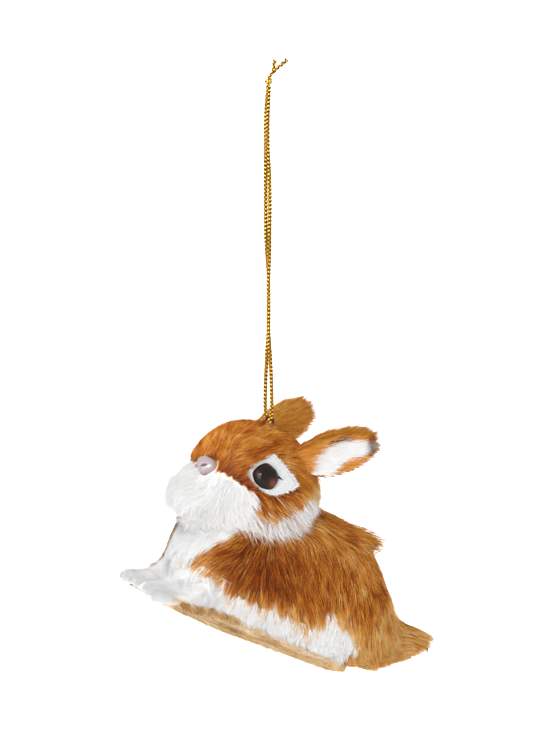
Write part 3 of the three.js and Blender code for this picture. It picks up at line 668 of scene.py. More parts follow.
# Three directions for a piece that faces outward: its right, its up and outward
def facing(outward, up):
    z = unit(np.array(outward, float))
    x = unit(np.cross(np.array(up, float), z))
    return np.stack([x, np.cross(z, x), z])


eyeWays = facing((-0.3, -0.92, 0.3), (0.1, 0, 1))
noseWays = facing((-0.8, -0.5, 0.3), (0, 0, 1))
# The lozenge of felt, in shares of the eye: corners and the bend of the edge after each
feltLine = [(-0.88, -0.28), (-0.085, 0.82), (1.37, 0.16), (0.49, -0.73)]
feltBend = [(-0.53, 0.33), (0.7, 0.56), (1.08, -0.46), (-0.42, -0.74)]


# The lozenge as a smooth closed outline: a quadratic curve for each side
def feltOutline(count):
    t = np.linspace(0, 1, count, endpoint=False)[:, None]
    corners, bends = np.array(feltLine), np.array(feltBend)
    sides = []
    for k in range(4):
        end = corners[(k + 1) % 4]
        sides.append((1 - t) ** 2 * corners[k] + 2 * t * (1 - t) * bends[k] + t * t * end)
    return np.concatenate(sides) * eyeSizes["across"]


feltPoints = [tuple(p) for p in feltOutline(8)]


# True over the felt on either side, grown by so much about its middle
def overFelt(points, grow):
    near = (points * [1, 0, 1] - np.abs(points) * [0, 1, 0] - eyeAt) @ eyeWays.T
    middle = np.array([0.16, 0.05]) * eyeSizes["across"]
    x, y = ((near[:, :2] - middle) / grow + middle).T
    return inside(feltPoints, x, y) & (near[:, 2] > -4)


# Share of the nose's width at a level from -1 to 1
def noseNarrow(level):
    return 1 - 0.5 * fade(-level, -0.3, 1.0)


# True over the nose, grown by so much
def overNose(points, clear):
    near = (points - noseAt) @ noseWays.T
    y = near[:, 1] / (noseSizes["tall"] / 2 + clear)
    x = near[:, 0] / ((noseSizes["wide"] / 2 + clear) * noseNarrow(y))
    return (np.abs(x) ** 2.6 + np.abs(y) ** 2.6 < 1) & (near[:, 2] > -4)


# What a coat has unless it says otherwise
plainCoat = {
    "grid": (64, 110), "hideThick": 0.4, "ragged": 0.5, "wander": 0.25, "loose": 0.12, "uneven": (0.65, 1.15),
    "unsteady": 0.07, "wild": 0.0, "wildRise": 0.25, "wildHigh": 0.7, "spring": 0.3, "lit": 0.3, "own": 0.45,
    "shades": (0, 1), "over": (), "onHead": False,
}
hairSpread = (0.7, 1.2)  # widths of single hairs, in shares of their coat's
# Room on the head: round the felts in shares of their size, round the nose, and round the screw eye above a
# level of the crown. Hairs that end near are cut to a share of their length.
faceRoom = {
    "feltShort": 0.86, "feltTip": 0.88, "feltRoot": 1.02, "nose": 0.1,
    "ringLevel": 45.0, "ringShort": 3.4, "ringClear": 1.7, "cut": 0.4,
}


# A pelt: a patch of a form, as hide with hair on it. The coat says where it lies, how dense and long it is,
# which way it runs and what shade it has.
def makePelt(name, form, coat):
    pick = np.random.default_rng(coat["seed"])
    rows, cols = coat["grid"]
    at = np.linspace(form["rows"][0, 0] + 0.001, form["rows"][-1, 0] - 0.001, rows + 1)
    turn = np.arange(cols) / cols * 2 * np.pi
    a, t = (g.ravel() for g in np.meshgrid(at, turn, indexing="ij"))
    skin, skinOut = onForm(form, a, t), outOf(form, a, t)
    grid = skin.reshape(rows + 1, cols, 3)
    ahead = np.roll(grid, -1, 1)
    area = np.linalg.norm(np.cross(ahead[1:] - grid[:-1], grid[1:] - ahead[:-1]), axis=-1) / 2
    middle = (grid[1:] + ahead[:-1]) / 2
    mine = coat["where"](middle.reshape(-1, 3)).reshape(rows, cols)
    spread = mine | np.roll(mine, 1, 1) | np.roll(mine, -1, 1)
    spread[1:] |= mine[:-1]
    spread[:-1] |= mine[1:]
    weight = np.cumsum((area * spread).ravel())
    count = int(weight[-1] * coat["density"])
    cell = np.searchsorted(weight, pick.random(count) * weight[-1])
    r, c = np.divmod(np.minimum(cell, rows * cols - 1), cols)
    a = at[r] + (at[r + 1] - at[r]) * pick.random(count)
    t = (c + pick.random(count)) / cols * 2 * np.pi
    p, n = onForm(form, a, t), outOf(form, a, t)
    edge = np.stack([waves(p, 2.6, 11), np.zeros(count), waves(p, 2.6, 12)], -1) * coat["ragged"]
    keep = coat["where"](p + edge)
    shade = coat["shade"](skin)
    if "beyond" in coat:
        own, other = coat["beyond"]
        shade = np.where(own(skin), shade, other)
    parts = [hide(grid, skinOut.reshape(grid.shape), mine, coat["deep"], coat["hideThick"],
                  shade.reshape(rows + 1, cols), coat["lit"]),
             growCoat(p[keep], n[keep], form, coat, pick)]
    piece = place(name, *joined(parts), hairFinish, coat["stands"], coat["slot"])
    print(name, keep.sum(), "hairs,", len(piece.data.polygons), "faces")


# The mean tip of the hairs in each cell of a wavering grid, and the number of each hair's cell
def gathered(p, tip, size, wander):
    cells = np.floor((p + 0.35 * size * wander) / size).astype(np.int64)
    _, cell = np.unique(cells @ np.array([1, 4099, 16785409]), return_inverse=True)
    mean = np.stack([np.bincount(cell, tip[:, k]) for k in range(3)], -1) / np.bincount(cell)[:, None]
    return mean[cell], cell


# Roots, bends and tips of hairs from points p with normals n, combed along the flow and bent to the form; the
# wild ones stand off
def combHairs(p, n, form, coat, wander, hang, pick):
    count = len(p)
    root = p - coat["deep"] * n
    way = unit(coat["flow"](p)) + coat["wander"] * wander + pick.normal(size=(count, 3)) * coat["loose"]
    way = unit(way - ((1 - 0.8 * hang) * (way * n).sum(1))[:, None] * n)
    length = coat["length"](p) * pick.uniform(*coat["uneven"], count)
    wild = pick.random(count) < coat["wild"]
    rise = coat["rise"] + pick.normal(size=count) * coat["unsteady"] + coat["wildRise"] * wild
    rise = np.clip(rise, 0.02, 0.95)
    tip = root + way * (length * np.sqrt(1 - rise * rise))[:, None] + n * (length * rise)[:, None]
    steep = np.minimum(rise + coat["spring"], 0.98)
    bend = root + (way * np.sqrt(1 - steep * steep)[:, None] + n * steep[:, None]) * (length * 0.5)[:, None]
    if "height" in coat:
        low, high = coat["height"]
        laid = settle(form, tip, pick.uniform(low, high, count) + coat["wildHigh"] * wild)
        tip = tip + (1 - hang[:, None]) * (laid - tip)
    return root, bend, tip, wild


# Tips drawn together in broad tufts and in wisps; also the number of each hair's wisp
def drawTogether(p, root, bend, tip, wild, coat, wander, pick):
    if "tuft" in coat:
        size, share = coat["tuft"]
        tip = tip + share(p)[:, None] * (gathered(p, tip, size, wander)[0] - tip)
    mean, wisp = gathered(p, tip, coat["wispSize"], wander)
    pull = coat["wisp"] * (~wild * pick.uniform(0.4, 1.0, len(p)))[:, None]
    tip = tip + pull * (mean - tip)
    bend = bend + 0.3 * pull * (mean - bend - 0.5 * (tip - root))
    return bend, tip, wisp


# Hairs laid over other forms, and low down held out past the edge of the base
def layOver(p, bend, tip, coat, pick):
    count = len(p)
    for other, clear in coat["over"]:
        tip = settle(other, tip, clear + pick.uniform(0, 0.5, count), only="out")
        bend = settle(other, bend, clear * 0.7, only="out")
    if "brim" in coat:
        least = (coat["brim"](tip[:, 0]) + pick.uniform(0.1, 0.5, count)) * fade(4.5 - tip[:, 2], 0, 2)
        tip[:, 1] = np.sign(p[:, 1]) * np.maximum(np.abs(tip[:, 1]), least)
    return bend, tip


# The coat's shade, mottled hair by hair and streaked wisp by wisp, with stray hairs of another shade
def shadeHairs(p, wisp, coat, pick):
    count = len(p)
    shade = coat["shade"](p) + pick.normal(size=count) * coat["mottle"]
    shade = shade + (pick.normal(size=wisp.max() + 1) * coat["streak"])[wisp]
    if "stray" in coat:
        part, other = coat["stray"]
        shade = np.where(pick.random(count) < part, other + pick.normal(size=count) * 0.05, shade)
    return np.clip(shade, *coat["shades"])


# Cuts hairs of the head short near felts and screw eye, and says which then stay clear of these and the nose
def cutClear(p, root, bend, tip):
    room = faceRoom
    fromRing = np.where(p[:, 2] > room["ringLevel"], np.hypot(p[:, 0], p[:, 1]), np.inf)
    short = overFelt(tip, room["feltShort"]) | (fromRing < room["ringShort"])
    tip[short] = root[short] + room["cut"] * (tip - root)[short]
    bend[short] = root[short] + room["cut"] * (bend - root)[short]
    onFelt = overFelt(p, room["feltRoot"]) | overFelt(tip, room["feltTip"])
    onNose = overNose(p, room["nose"]) | overNose(tip, room["nose"])
    return ~(onFelt | onNose) & (fromRing > room["ringClear"])


# The hairs of a coat from points p of the skin with normals n
def growCoat(p, n, form, coat, pick):
    count = len(p)
    wander = np.stack([waves(p, 7.0, coat["seed"] + k) for k in range(3)], -1)
    hang = fade(coat["hang"](p) - p[:, 2], 0, 5) if "hang" in coat else np.zeros(count)
    root, bend, tip, wild = combHairs(p, n, form, coat, wander, hang, pick)
    bend, tip, wisp = drawTogether(p, root, bend, tip, wild, coat, wander, pick)
    bend, tip = layOver(p, bend, tip, coat, pick)
    shade = shadeHairs(p, wisp, coat, pick)
    out = upright(n, np.maximum(hang, coat["lit"]))
    width = coat["width"] * pick.uniform(*hairSpread, count)
    stay = np.ones(count, bool)
    if "stop" in coat:
        end = coat["stop"](p) + pick.normal(size=count) * 0.4
        part = np.clip((root[:, 2] - end) / np.maximum(root[:, 2] - tip[:, 2], 0.1), 0, 1)
        tip, bend = root + part[:, None] * (tip - root), root + part[:, None] * (bend - root)
        stay = part > 0.2
    if coat["onHead"]:
        stay = stay & cutClear(p, root, bend, tip)
    root, bend, tip, width, shade, out = (v[stay] for v in (root, bend, tip, width, shade, out))
    return hairs(root, bend, tip, width, shade, coat["steps"], out, coat["own"])


# Tail: a tapering brush that lifts a little at its tip. Rows in millimetres: x, half width, bottom, top.
tailRows = np.array([
    [44.0, 7.6, 2.4, 19.4], [48.0, 6.8, 2.7, 17.9], [52.0, 5.8, 3.6, 16.8], [56.0, 4.6, 5.4, 16.1],
    [60.0, 3.2, 8.1, 15.8], [62.6, 1.8, 10.8, 15.6], [63.6, 0.0, 13.2, 13.6],
])
tailForm = {
    "front": 44.0, "long": 20.0, "wide": 2.0, "tall": 1.0, "base": 0.0, "side": 0.0, "power": 1.0,
    "rows": np.column_stack([(tailRows[:, 0] - 44.0) / 20.0, tailRows[:, 1:], tailRows[:, 2:].mean(1)]),
}


# Distance in the side view from points to an outline
def fromEdge(outline, p):
    near = np.full(len(p), 1e9)
    for (ax, az), (bx, bz) in zip(outline, outline[1:] + outline[:1]):
        x, z, long = p[:, 0] - ax, p[:, 2] - az, np.hypot(bx - ax, bz - az)
        t = np.clip((x * (bx - ax) + z * (bz - az)) / long ** 2, 0, 1)
        near = np.minimum(near, np.hypot(x - t * (bx - ax), z - t * (bz - az)))
    return near


# Outlines of the patches in the side view, in shares along and up the head or the body
def outlineOn(inForm, *shares):
    return [inForm(along, up) for along, up in shares]


crownOutline = outlineOn(
    inHead, (-0.3, 0.5), (0.12, 0.52), (0.19, 0.503), (0.29, 0.485), (0.41, 0.447), (0.56, 0.5), (0.85, 0.6),
    (1.3, 0.62), (1.3, 1.5), (-0.3, 1.5))
muzzleOutline = outlineOn(
    inHead, (-0.3, 0.6), (0.41, 0.6), (0.41, 0.44), (0.43, 0.36), (0.44, 0.24), (0.43, 0.12), (0.42, -0.5),
    (-0.3, -0.5))
cheekOutline = outlineOn(
    inHead, (0.39, 0.62), (0.39, 0.43), (0.42, 0.34), (0.5, 0.29), (0.58, 0.25), (0.62, 0.34), (0.67, 0.37),
    (0.74, 0.48), (0.82, 0.66))
chestOutline = outlineOn(
    inBody, (-0.4, -0.4), (0.05, -0.4), (0.04, 0.2), (0.025, 0.28), (0.006, 0.325), (0.035, 0.45),
    (0.078, 0.55), (0.14, 0.68), (0.14, 1.5), (-0.4, 1.5))
rumpOutline = outlineOn(
    inBody, (0.755, -0.4), (0.765, 0.04), (0.795, 0.15), (0.82, 0.4), (0.86, 0.66), (0.9, 1.5), (1.4, 1.5),
    (1.4, -0.4))
saddleOutline = outlineOn(
    inBody, (-0.4, 0.31), (0.0, 0.315), (0.08, 0.295), (0.17, 0.25), (0.235, 0.225), (0.3, 0.21),
    (0.38, 0.26), (0.44, 0.27), (0.5, 0.18), (0.56, 0.2), (0.6, 0.3), (0.65, 0.35), (0.7, 0.3), (0.75, 0.27),
    (0.79, 0.2), (1.4, 0.2), (1.4, 1.5), (-0.4, 1.5))


# Past the nose, on the rabbit's right, the brown comes lower
def onCrown(p):
    lower = 1.7 * fade(p[:, 1], -2, 1) * fade(-p[:, 0], 8, 11)
    return inside(crownOutline, p[:, 0], p[:, 2] + lower)


def onMuzzle(p):
    return inside(muzzleOutline, p[:, 0], p[:, 2]) & ~onCrown(p)


def onCheek(p):
    return inside(cheekOutline, p[:, 0], p[:, 2]) & ~onCrown(p) & ~onMuzzle(p)


def onRuff(p):
    return ~onCrown(p) & ~onMuzzle(p) & ~onCheek(p)


# On the rabbit's right the brown comes farther forward
def onChest(p):
    ahead = 7 * fade(p[:, 1], 8.0, 9.6)
    return inside(chestOutline, p[:, 0] + ahead, p[:, 2])


def onRump(p):
    return inside(rumpOutline, p[:, 0], p[:, 2]) & ~onChest(p)


def onSaddle(p):
    return inside(saddleOutline, p[:, 0], p[:, 2]) & ~onChest(p) & ~onRump(p)


def onFlank(p):
    return ~onChest(p) & ~onRump(p) & ~onSaddle(p) & (p[:, 2] > 2.2)


def leftOf(where):
    return lambda p: where(p) & (p[:, 1] <= 0)


def rightOf(where):
    return lambda p: where(p) & (p[:, 1] > 0)


# Combing: directions in the side view, with no push across
def combed(x, z):
    return np.stack([x, np.zeros_like(x), z], -1)


def crownFlow(p):
    a = np.radians(np.interp(p[:, 0], [-15, -6, 4, 14], [62, 34, 4, -38]))
    return combed(np.cos(a), np.sin(a))


def muzzleFlow(p):
    k = fade(p[:, 0], -15, 0)
    low = fade(-p[:, 2], -28, -24) * (1 - fade(p[:, 0], -15, -10))
    return combed(-0.35 + 1.2 * k + 0.9 * low, -0.95 + 0.3 * k)


def cheekFlow(p):
    return combed(np.full(len(p), 0.9), np.full(len(p), -0.5))


def ruffFlow(p):
    k = fade(p[:, 0], 2, 15)
    return combed(0.5 + 0.45 * k, -0.9 + 0.35 * k)


# Straight down as it hangs; ahead of the shoulder it fans forwards, and along the back it runs to the tail
def saddleFlow(p):
    ridge = fade(p[:, 2], 28, 35) * fade(p[:, 0], 6, 14)
    lean = np.clip((p[:, 0] - 5.4) / np.maximum(24 - p[:, 2], 6), -1.2, 0) + 0.45 * fade(p[:, 0], 4, 12)
    return combed(lean * (1 - ridge) + ridge, -1 + 0.6 * ridge)


def rumpFlow(p):
    back = np.maximum(fade(p[:, 0], 43, 51), fade(-p[:, 2], -10, -4) * fade(p[:, 0], 38, 44))[:, None]
    return unit(saddleFlow(p)) * (1 - back) + combed(np.ones(len(p)), np.full(len(p), -0.2)) * back


def flankFlow(p):
    return combed(0.3 - 0.5 * fade(-p[:, 0], -16, 6), np.full(len(p), -1.0))


def chestFlow(p):
    low = fade(-p[:, 2], -15, -8)
    return combed(-0.75 - 0.3 * low, -0.95 + 0.4 * low)


def pawFlow(p):
    back, front = fade(p[:, 0], -9, -2), fade(-p[:, 0], 9, 13)
    return combed(-1.0 + 1.0 * back + 0.6 * front, -0.25 - 0.6 * back - 0.7 * front)


def whiteShade(p):
    return 0.02 + 0.02 * waves(p, 6, 5)


# Where the white coat ends above the base: places along, and heights there
fuzzLine = ((-13, -10, -6, 0, 12, 22, 42), (0.6, 2.4, 3.2, 3.5, 2.8, 1.9, 1.0))


def coatEnd(p):
    return np.interp(p[:, 0], *fuzzLine) + 0.35 * waves(p * [1, 0.2, 0], 3.4, 47)


# Half width of the base
def baseHalf(x):
    return 3.8 + np.sqrt(np.maximum(100 - np.maximum(x - 33.5, 0) ** 2, 0))


# White, tan under the end of the coat and at a worn spot on each paw
def baseShade(p):
    bare = fade(coatEnd(p) - p[:, 2], -0.2, 0.4)
    spot = np.exp(-((p[:, 0] + 9.4) / 2.4) ** 4 - ((p[:, 2] - 3.9) / 0.75) ** 4) * (np.abs(p[:, 1]) > 11)
    return whiteShade(p) + 0.3 * np.maximum(bare, spot)


# The brown turns gold, then cream, low on the back of the head
def pale(p):
    return fade(p[:, 0] - 0.6 * (p[:, 2] - 38), 7, 14)


# rim is a painted shadow: a dark line along the border with the muzzle, on the rabbit's left
def crownShade(p):
    bridge = np.exp(-((p[:, 0] + 9) / 4) ** 2)
    edge = np.interp(p[:, 0], *np.array(crownOutline[:8]).T)
    rim = np.exp(-((p[:, 2] - edge) / 0.6) ** 2) * (1 - fade(p[:, 0], 1, 4)) * fade(-p[:, 1], 4, 8)
    return 0.63 + 0.07 * waves(p, 9, 1) + 0.04 * waves(p, 4, 2) + 0.05 * bridge + 0.2 * rim - 0.34 * pale(p)


def cheekShade(p):
    fringe = np.exp(-(fromEdge(cheekOutline, p) / 1.3) ** 2) * fade(-p[:, 2], -36, -33)
    return 0.62 + 0.08 * waves(p, 5, 3) - np.maximum(0.4 * pale(p), 0.16 * fringe)


# Darkest on the side; lighter low down, on the back, ahead on the right, and in a fringe along its borders
def saddleShade(p):
    dark = np.exp(-((p[:, 0] - 10) / 15) ** 2 - ((p[:, 2] - 19) / 7) ** 2)
    light = 0.08 * fade(-p[:, 2], -14, -7) + 0.05 * fade(p[:, 2], 25, 33)
    light = light + 0.2 * fade(-p[:, 0], 1, 7) * (p[:, 1] > 0)
    fringe = np.maximum(0.4 * np.exp(-(fromEdge(saddleOutline, p) / 3.6) ** 2),
                        0.22 * np.exp(-(fromEdge(chestOutline, p) / 2.0) ** 2))
    return 0.64 + 0.2 * dark + 0.05 * waves(p, 10, 6) + 0.02 * waves(p, 4, 7) - np.maximum(light, fringe)


def rumpShade(p):
    return 0.44 + 0.07 * waves(p, 8, 8)


def even(value):
    return lambda p: np.full(len(p), value)


def saddleLength(p):
    return (6.5 + 1.7 * fade(-p[:, 2], -16, -10)) * (1 - 0.3 * fade(-p[:, 0], -4, 2))


# How far the saddle's hairs draw together along its ragged lower edge
def saddleTufts(p):
    return 0.6 * fade(-fromEdge(saddleOutline, p), -8, -3) * fade(p[:, 0], -4, 2)


def pawLength(p):
    return 3.6 - 1.4 * fade(-p[:, 0], 8, 13)


def onPaw(p):
    return (p[:, 2] > 0.9) & (p[:, 2] < 10.5 - 0.5 * (p[:, 0] + 6)) & (p[:, 0] < 1)


# Forms that a coat lies over, and its height there
def overPaws(clear):
    return [(pawForm, clear), (pawRight, clear), (apronForm, clear)]


white = {**plainCoat, "width": 0.13, "slot": "white_fur", "shade": whiteShade, "mottle": 0.03,
         "streak": 0.012, "spring": 0.18, "lit": 0.9}
brown = {**plainCoat, "width": 0.115, "slot": "brown_fur", "mottle": 0.15, "streak": 0.07, "own": 0.9,
         "shades": (0.34, 0.92)}
pelts = {
    "crown_pelt_left": (headForm, {
        **brown, "where": leftOf(onCrown), "stands": "crown_fur", "seed": 21, "onHead": True,
        "density": 15.2, "steps": 2, "length": lambda p: 3.4 + 1.6 * fade(p[:, 0], -4, 12),
        "rise": 0.34, "deep": 1.2, "height": (-0.7, 0.9), "flow": crownFlow, "loose": 0.18, "wild": 0.05,
        "wisp": 0.5, "wispSize": 1.2, "shade": crownShade, "shades": (0.3, 0.92), "mottle": 0.1,
        "beyond": (onCrown, 0.04),
    }),
    "muzzle_pelt": (headForm, {
        **white, "where": onMuzzle, "stands": "muzzle_fur", "seed": 22, "onHead": True,
        "density": 14.0, "steps": 2, "width": 0.105, "length": even(4.5), "rise": 0.3, "deep": 1.0,
        "height": (-0.6, 0.4), "ragged": 0.45, "flow": muzzleFlow, "wander": 0.08, "loose": 0.16,
        "wild": 0.06, "hang": lambda p: 23 + 8 * fade(p[:, 0], -14, -4), "over": [(bodyForm, 0.3)],
        # Its hide past the crown's border is dark brown: a painted shadow line along that border
        "wisp": 0.2, "wispSize": 1.1, "own": 0.8, "mottle": 0.05, "beyond": (lambda p: ~onCrown(p), 0.9),
    }),
    "cheek_pelt_left": (headForm, {
        **brown, "where": leftOf(onCheek), "stands": "cheek_fur_left", "seed": 23, "onHead": True,
        "density": 9.0, "steps": 3, "length": even(6.0), "uneven": (0.5, 1.25), "rise": 0.3, "deep": 1,
        "height": (-0.5, 0.5), "flow": cheekFlow, "wisp": 0.5, "wispSize": 1.5,
        "shade": cheekShade, "shades": (0.12, 0.92),
    }),
    "neck_pelt": (headForm, {
        **white, "where": onRuff, "stands": "neck_ruff", "seed": 25, "onHead": True,
        "density": 11.5, "steps": 3, "width": 0.1, "length": lambda p: 8.5 - 3 * fade(p[:, 0], 7, 14),
        "uneven": (0.4, 1.3), "rise": 0.3, "deep": 1, "flow": ruffFlow, "loose": 0.2,
        "over": [(bodyForm, 0.4)], "wisp": 0.4, "wispSize": 1.1, "stray": (0.14, 0.58),
        "shade": lambda p: 0.08 + 0.05 * waves(p, 5, 9),
    }),
    "chest_pelt": (bodyForm, {
        **white, "where": onChest, "stands": "chest_fur", "seed": 26,
        "density": 13.0, "steps": 2, "length": lambda p: 5 + 2.5 * fade(-p[:, 2], -15, -9), "rise": 0.14,
        "deep": 0.7, "height": (-0.5, 0.0), "flow": chestFlow, "over": overPaws(0.1),
        "wisp": 0.3, "wispSize": 1.4,
    }),
    "saddle_pelt_left": (bodyForm, {
        **brown, "where": leftOf(onSaddle), "stands": "saddle_fur", "seed": 27,
        "density": 12.0, "steps": 2, "length": saddleLength, "rise": 0.2, "deep": 1.4, "height": (-0.5, 0.8),
        "flow": saddleFlow, "loose": 0.13, "wander": 0.2, "wild": 0.02, "over": overPaws(0.15),
        "wisp": 0.55, "wispSize": 1.4, "tuft": (4.2, saddleTufts), "shade": saddleShade,
    }),
    "rump_pelt": (bodyForm, {
        **brown, "where": onRump, "stands": "rump_fur", "seed": 29,
        "density": 10.0, "steps": 2, "length": lambda p: 7.5 + 3.0 * fade(p[:, 0], 46, 51), "rise": 0.22,
        "deep": 1.4, "height": (-0.7, 0.6), "flow": rumpFlow, "wild": 0.02, "over": [(tailForm, 0.4)],
        "stop": lambda p: np.interp(p[:, 0], (38, 42, 50, 56), (-0.2, 0.4, 2.8, 4.5)),
        "wisp": 0.55, "wispSize": 1.5, "shade": rumpShade,
    }),
    "flank_pelt_left": (bodyForm, {
        **white, "where": leftOf(onFlank), "stands": "flank_fur_left", "seed": 30,
        "density": 13.0, "steps": 2, "length": lambda p: 4.4 + 2.6 * fade(-p[:, 0], -4, 4),
        "uneven": (0.4, 1.2), "rise": 0.24, "deep": 0.7, "height": (-0.5, 0.5), "flow": flankFlow,
        "over": overPaws(0.1)[:2], "stop": lambda p: coatEnd(p) - 0.6, "brim": baseHalf,
        "wisp": 0.45, "wispSize": 1.3, "own": 0.8, "mottle": 0.05, "shade": baseShade,
    }),
    "paw_pelt_left": (pawForm, {
        **white, "where": onPaw, "stands": "front_paw_left", "seed": 32, "grid": (36, 60),
        "density": 14.0, "steps": 2, "length": pawLength, "rise": 0.16, "deep": 0.6, "height": (-0.5, 0.1),
        "flow": pawFlow, "wander": 0.1, "over": [(bodyForm, 0.0)], "stop": coatEnd,
        "wisp": 0.3, "wispSize": 1.3, "lit": 0.6, "shade": baseShade,
    }),
    "apron_pelt": (apronForm, {
        **white, "where": lambda p: (p[:, 2] > 0.9) & (np.abs(p[:, 1]) < 10.6), "stands": "chest_fur",
        "seed": 33, "grid": (36, 90), "density": 12.0, "steps": 2, "length": pawLength, "rise": 0.14,
        "deep": 0.6, "height": (-0.5, 0.1), "flow": pawFlow, "wander": 0.1, "stop": coatEnd,
        "wisp": 0.3, "wispSize": 1.3,
    }),
}
rightPatches = {"crown_pelt": ("crown_fur", onCrown), "cheek_pelt": ("cheek_fur_right", onCheek),
                "saddle_pelt": ("saddle_fur", onSaddle), "flank_pelt": ("flank_fur_right", onFlank)}
for stem, (node, where) in rightPatches.items():
    form, coat = pelts[stem + "_left"]
    other = {"where": rightOf(where), "stands": node, "seed": coat["seed"] + 20}
    pelts[stem + "_right"] = (form, {**coat, **other})
pelts["paw_pelt_right"] = (pawRight, {**pelts["paw_pelt_left"][1], "stands": "front_paw_right", "seed": 52})
pelts["tail_pelt"] = (tailForm, {
    **brown, "where": lambda p: p[:, 0] > 44, "stands": "tail_fur", "seed": 34, "grid": (30, 48),
    "density": 7.2, "steps": 3, "length": even(5.5), "rise": 0.2, "deep": 0.7,
    "flow": lambda p: combed(np.ones(len(p)), np.full(len(p), 0.1)), "wisp": 0.5, "wispSize": 1.6, "own": 1.0,
    "shade": lambda p: 0.42 + 0.08 * waves(p, 6, 10),
})
for name, (form, coat) in pelts.items():
    makePelt(name, form, coat)

# A tuft that stands off the back, behind the shoulders: hairs from round its middle that reach for one goal
tuftSizes = {
    "hairs": 2500, "middle": 30.5, "spread": 3.4, "goal": (43.2, -1.5, 32.6), "scatter": (0.9, 2.8, 1.2),
    "deep": 1.2, "arch": 0.9, "width": 0.12, "shade": 0.53,
}


def makeTuft():
    pick = np.random.default_rng(36)
    count = tuftSizes["hairs"]
    x = pick.normal(size=count) * tuftSizes["spread"] + tuftSizes["middle"]
    at = (x - bodyForm["front"]) / bodyForm["long"]
    turn = np.pi / 2 + pick.normal(size=count) * 0.5
    p, n = onForm(bodyForm, at, turn), outOf(bodyForm, at, turn)
    root = p - tuftSizes["deep"] * n
    goal = np.array(tuftSizes["goal"]) + pick.normal(size=(count, 3)) * tuftSizes["scatter"]
    share = np.clip(1.1 - np.abs(p[:, 1]) / 14, 0.25, 1) * pick.uniform(0.55, 1.05, count)
    tip = root + (goal - root) * share[:, None]
    bend = (root + tip) / 2 + n * tuftSizes["arch"]
    shade = tuftSizes["shade"] + 0.1 * pick.normal(size=count)
    width = tuftSizes["width"] * pick.uniform(*hairSpread, count)
    strands = hairs(root, bend, tip, width, shade, 3, n, 0.8)
    place("back_tuft", *strands, hairFinish, "saddle_fur", "brown_fur")


# Golden hairs that show past the chest, on the rabbit's right: they lie along a route
edgeSizes = {
    "hairs": 900, "width": 0.12, "shade": 0.38, "out": (-0.7, 0.4, 0.4),
    "step": 0.1, "shortest": 14, "longest": 30,  # lengths in steps of the route
    "route": [(-7.6, 8.4, 22.0), (-8.3, 8.9, 17.0), (-7.6, 9.8, 12.0), (-7.9, 10.6, 8.6), (-9.6, 10.9, 6.6),
              (-10.6, 11.0, 6.0)],
}


def makeChestEdge():
    pick = np.random.default_rng(37)
    count, longest = edgeSizes["hairs"], edgeSizes["longest"]
    route = evenly(edgeSizes["route"], edgeSizes["step"])
    k = (pick.random(count) ** 1.5 * (len(route) - longest)).astype(int)
    root = route[k] + pick.normal(size=(count, 3)) * 0.22
    end = route[k + pick.integers(edgeSizes["shortest"], longest, count)]
    tip = end + pick.normal(size=(count, 3)) * 0.3
    n = np.tile(unit(np.array(edgeSizes["out"])), (count, 1))
    width = edgeSizes["width"] * pick.uniform(*hairSpread, count)
    shade = edgeSizes["shade"] + 0.1 * pick.normal(size=count)
    strands = hairs(root, (root + tip) / 2 + 0.2 * n, tip, width, shade, 2, n, 0.9)
    place("chest_edge", *strands, hairFinish, "saddle_fur", "brown_fur")


makeTuft()
makeChestEdge()
print("tuft and chest edge")

# Ears: a cupped leaf each, its brown back and upper edge over a white lining; across runs to the upper edge
earSizes = {
    "long": 14.5, "wide": 9.9, "thick": 1.1, "cup": 0.46, "bow": 0.053, "sweep": 0.13,
    # share along, half width to the upper and to the lower edge
    "rows": np.array([[-0.42, 0.3, 0.3], [-0.2, 0.58, 0.58], [0, 0.8, 0.9], [0.16, 0.94, 1.05],
                      [0.36, 1.0, 1.05], [0.58, 0.96, 0.9], [0.76, 0.84, 0.7], [0.9, 0.64, 0.42],
                      [1.0, 0.3, 0.2]]),
    "left": {"base": (10.1, -8.9, 48.1), "along": (0.71, -0.416, 0.568), "face": (-0.448, -0.876, -0.179),
             "hand": 1, "size": 1.0},
    "right": {"base": (4.6, 8.8, 48.6), "along": (0.789, 0.337, 0.514), "face": (-0.305, 0.884, -0.353),
              "hand": -1, "size": 0.93},
    "backHairs": 3900, "faceHairs": 6400, "fringeHairs": 1500, "hairWide": 0.15,
    "brownLong": 4.4, "liningLong": 3.6, "fringeLong": 2.8,
    "lining": (slice(11, 33), slice(3, 16)),  # rows and columns of the leaf's grid under the white lining
}


# A point of the leaf: share along it, and share of its half width; also its normal on the face side
def onLeaf(ear, at, across):
    x = unit(np.array(ear["along"]))
    y = unit(np.cross(np.array(ear["face"]), x)) * ear["hand"]
    z = np.cross(x, y) * ear["hand"]
    long, wide = earSizes["long"] * ear["size"], earSizes["wide"] * ear["size"]

    def spot(a, c):
        upper, lower = through(earSizes["rows"], np.clip(a, -0.42, 1)).T
        off = c * wide / 2 * np.where(c > 0, upper, lower)
        lift = earSizes["cup"] * off * off / wide + earSizes["bow"] * long * a * a
        along = a * long + earSizes["sweep"] * off
        return np.array(ear["base"]) + along[:, None] * x + off[:, None] * y + lift[:, None] * z

    p = spot(at, across)
    n = np.cross(spot(at + 0.01, across) - p, spot(at, across + 0.01) - p) * ear["hand"]
    return p, unit(n), x, y


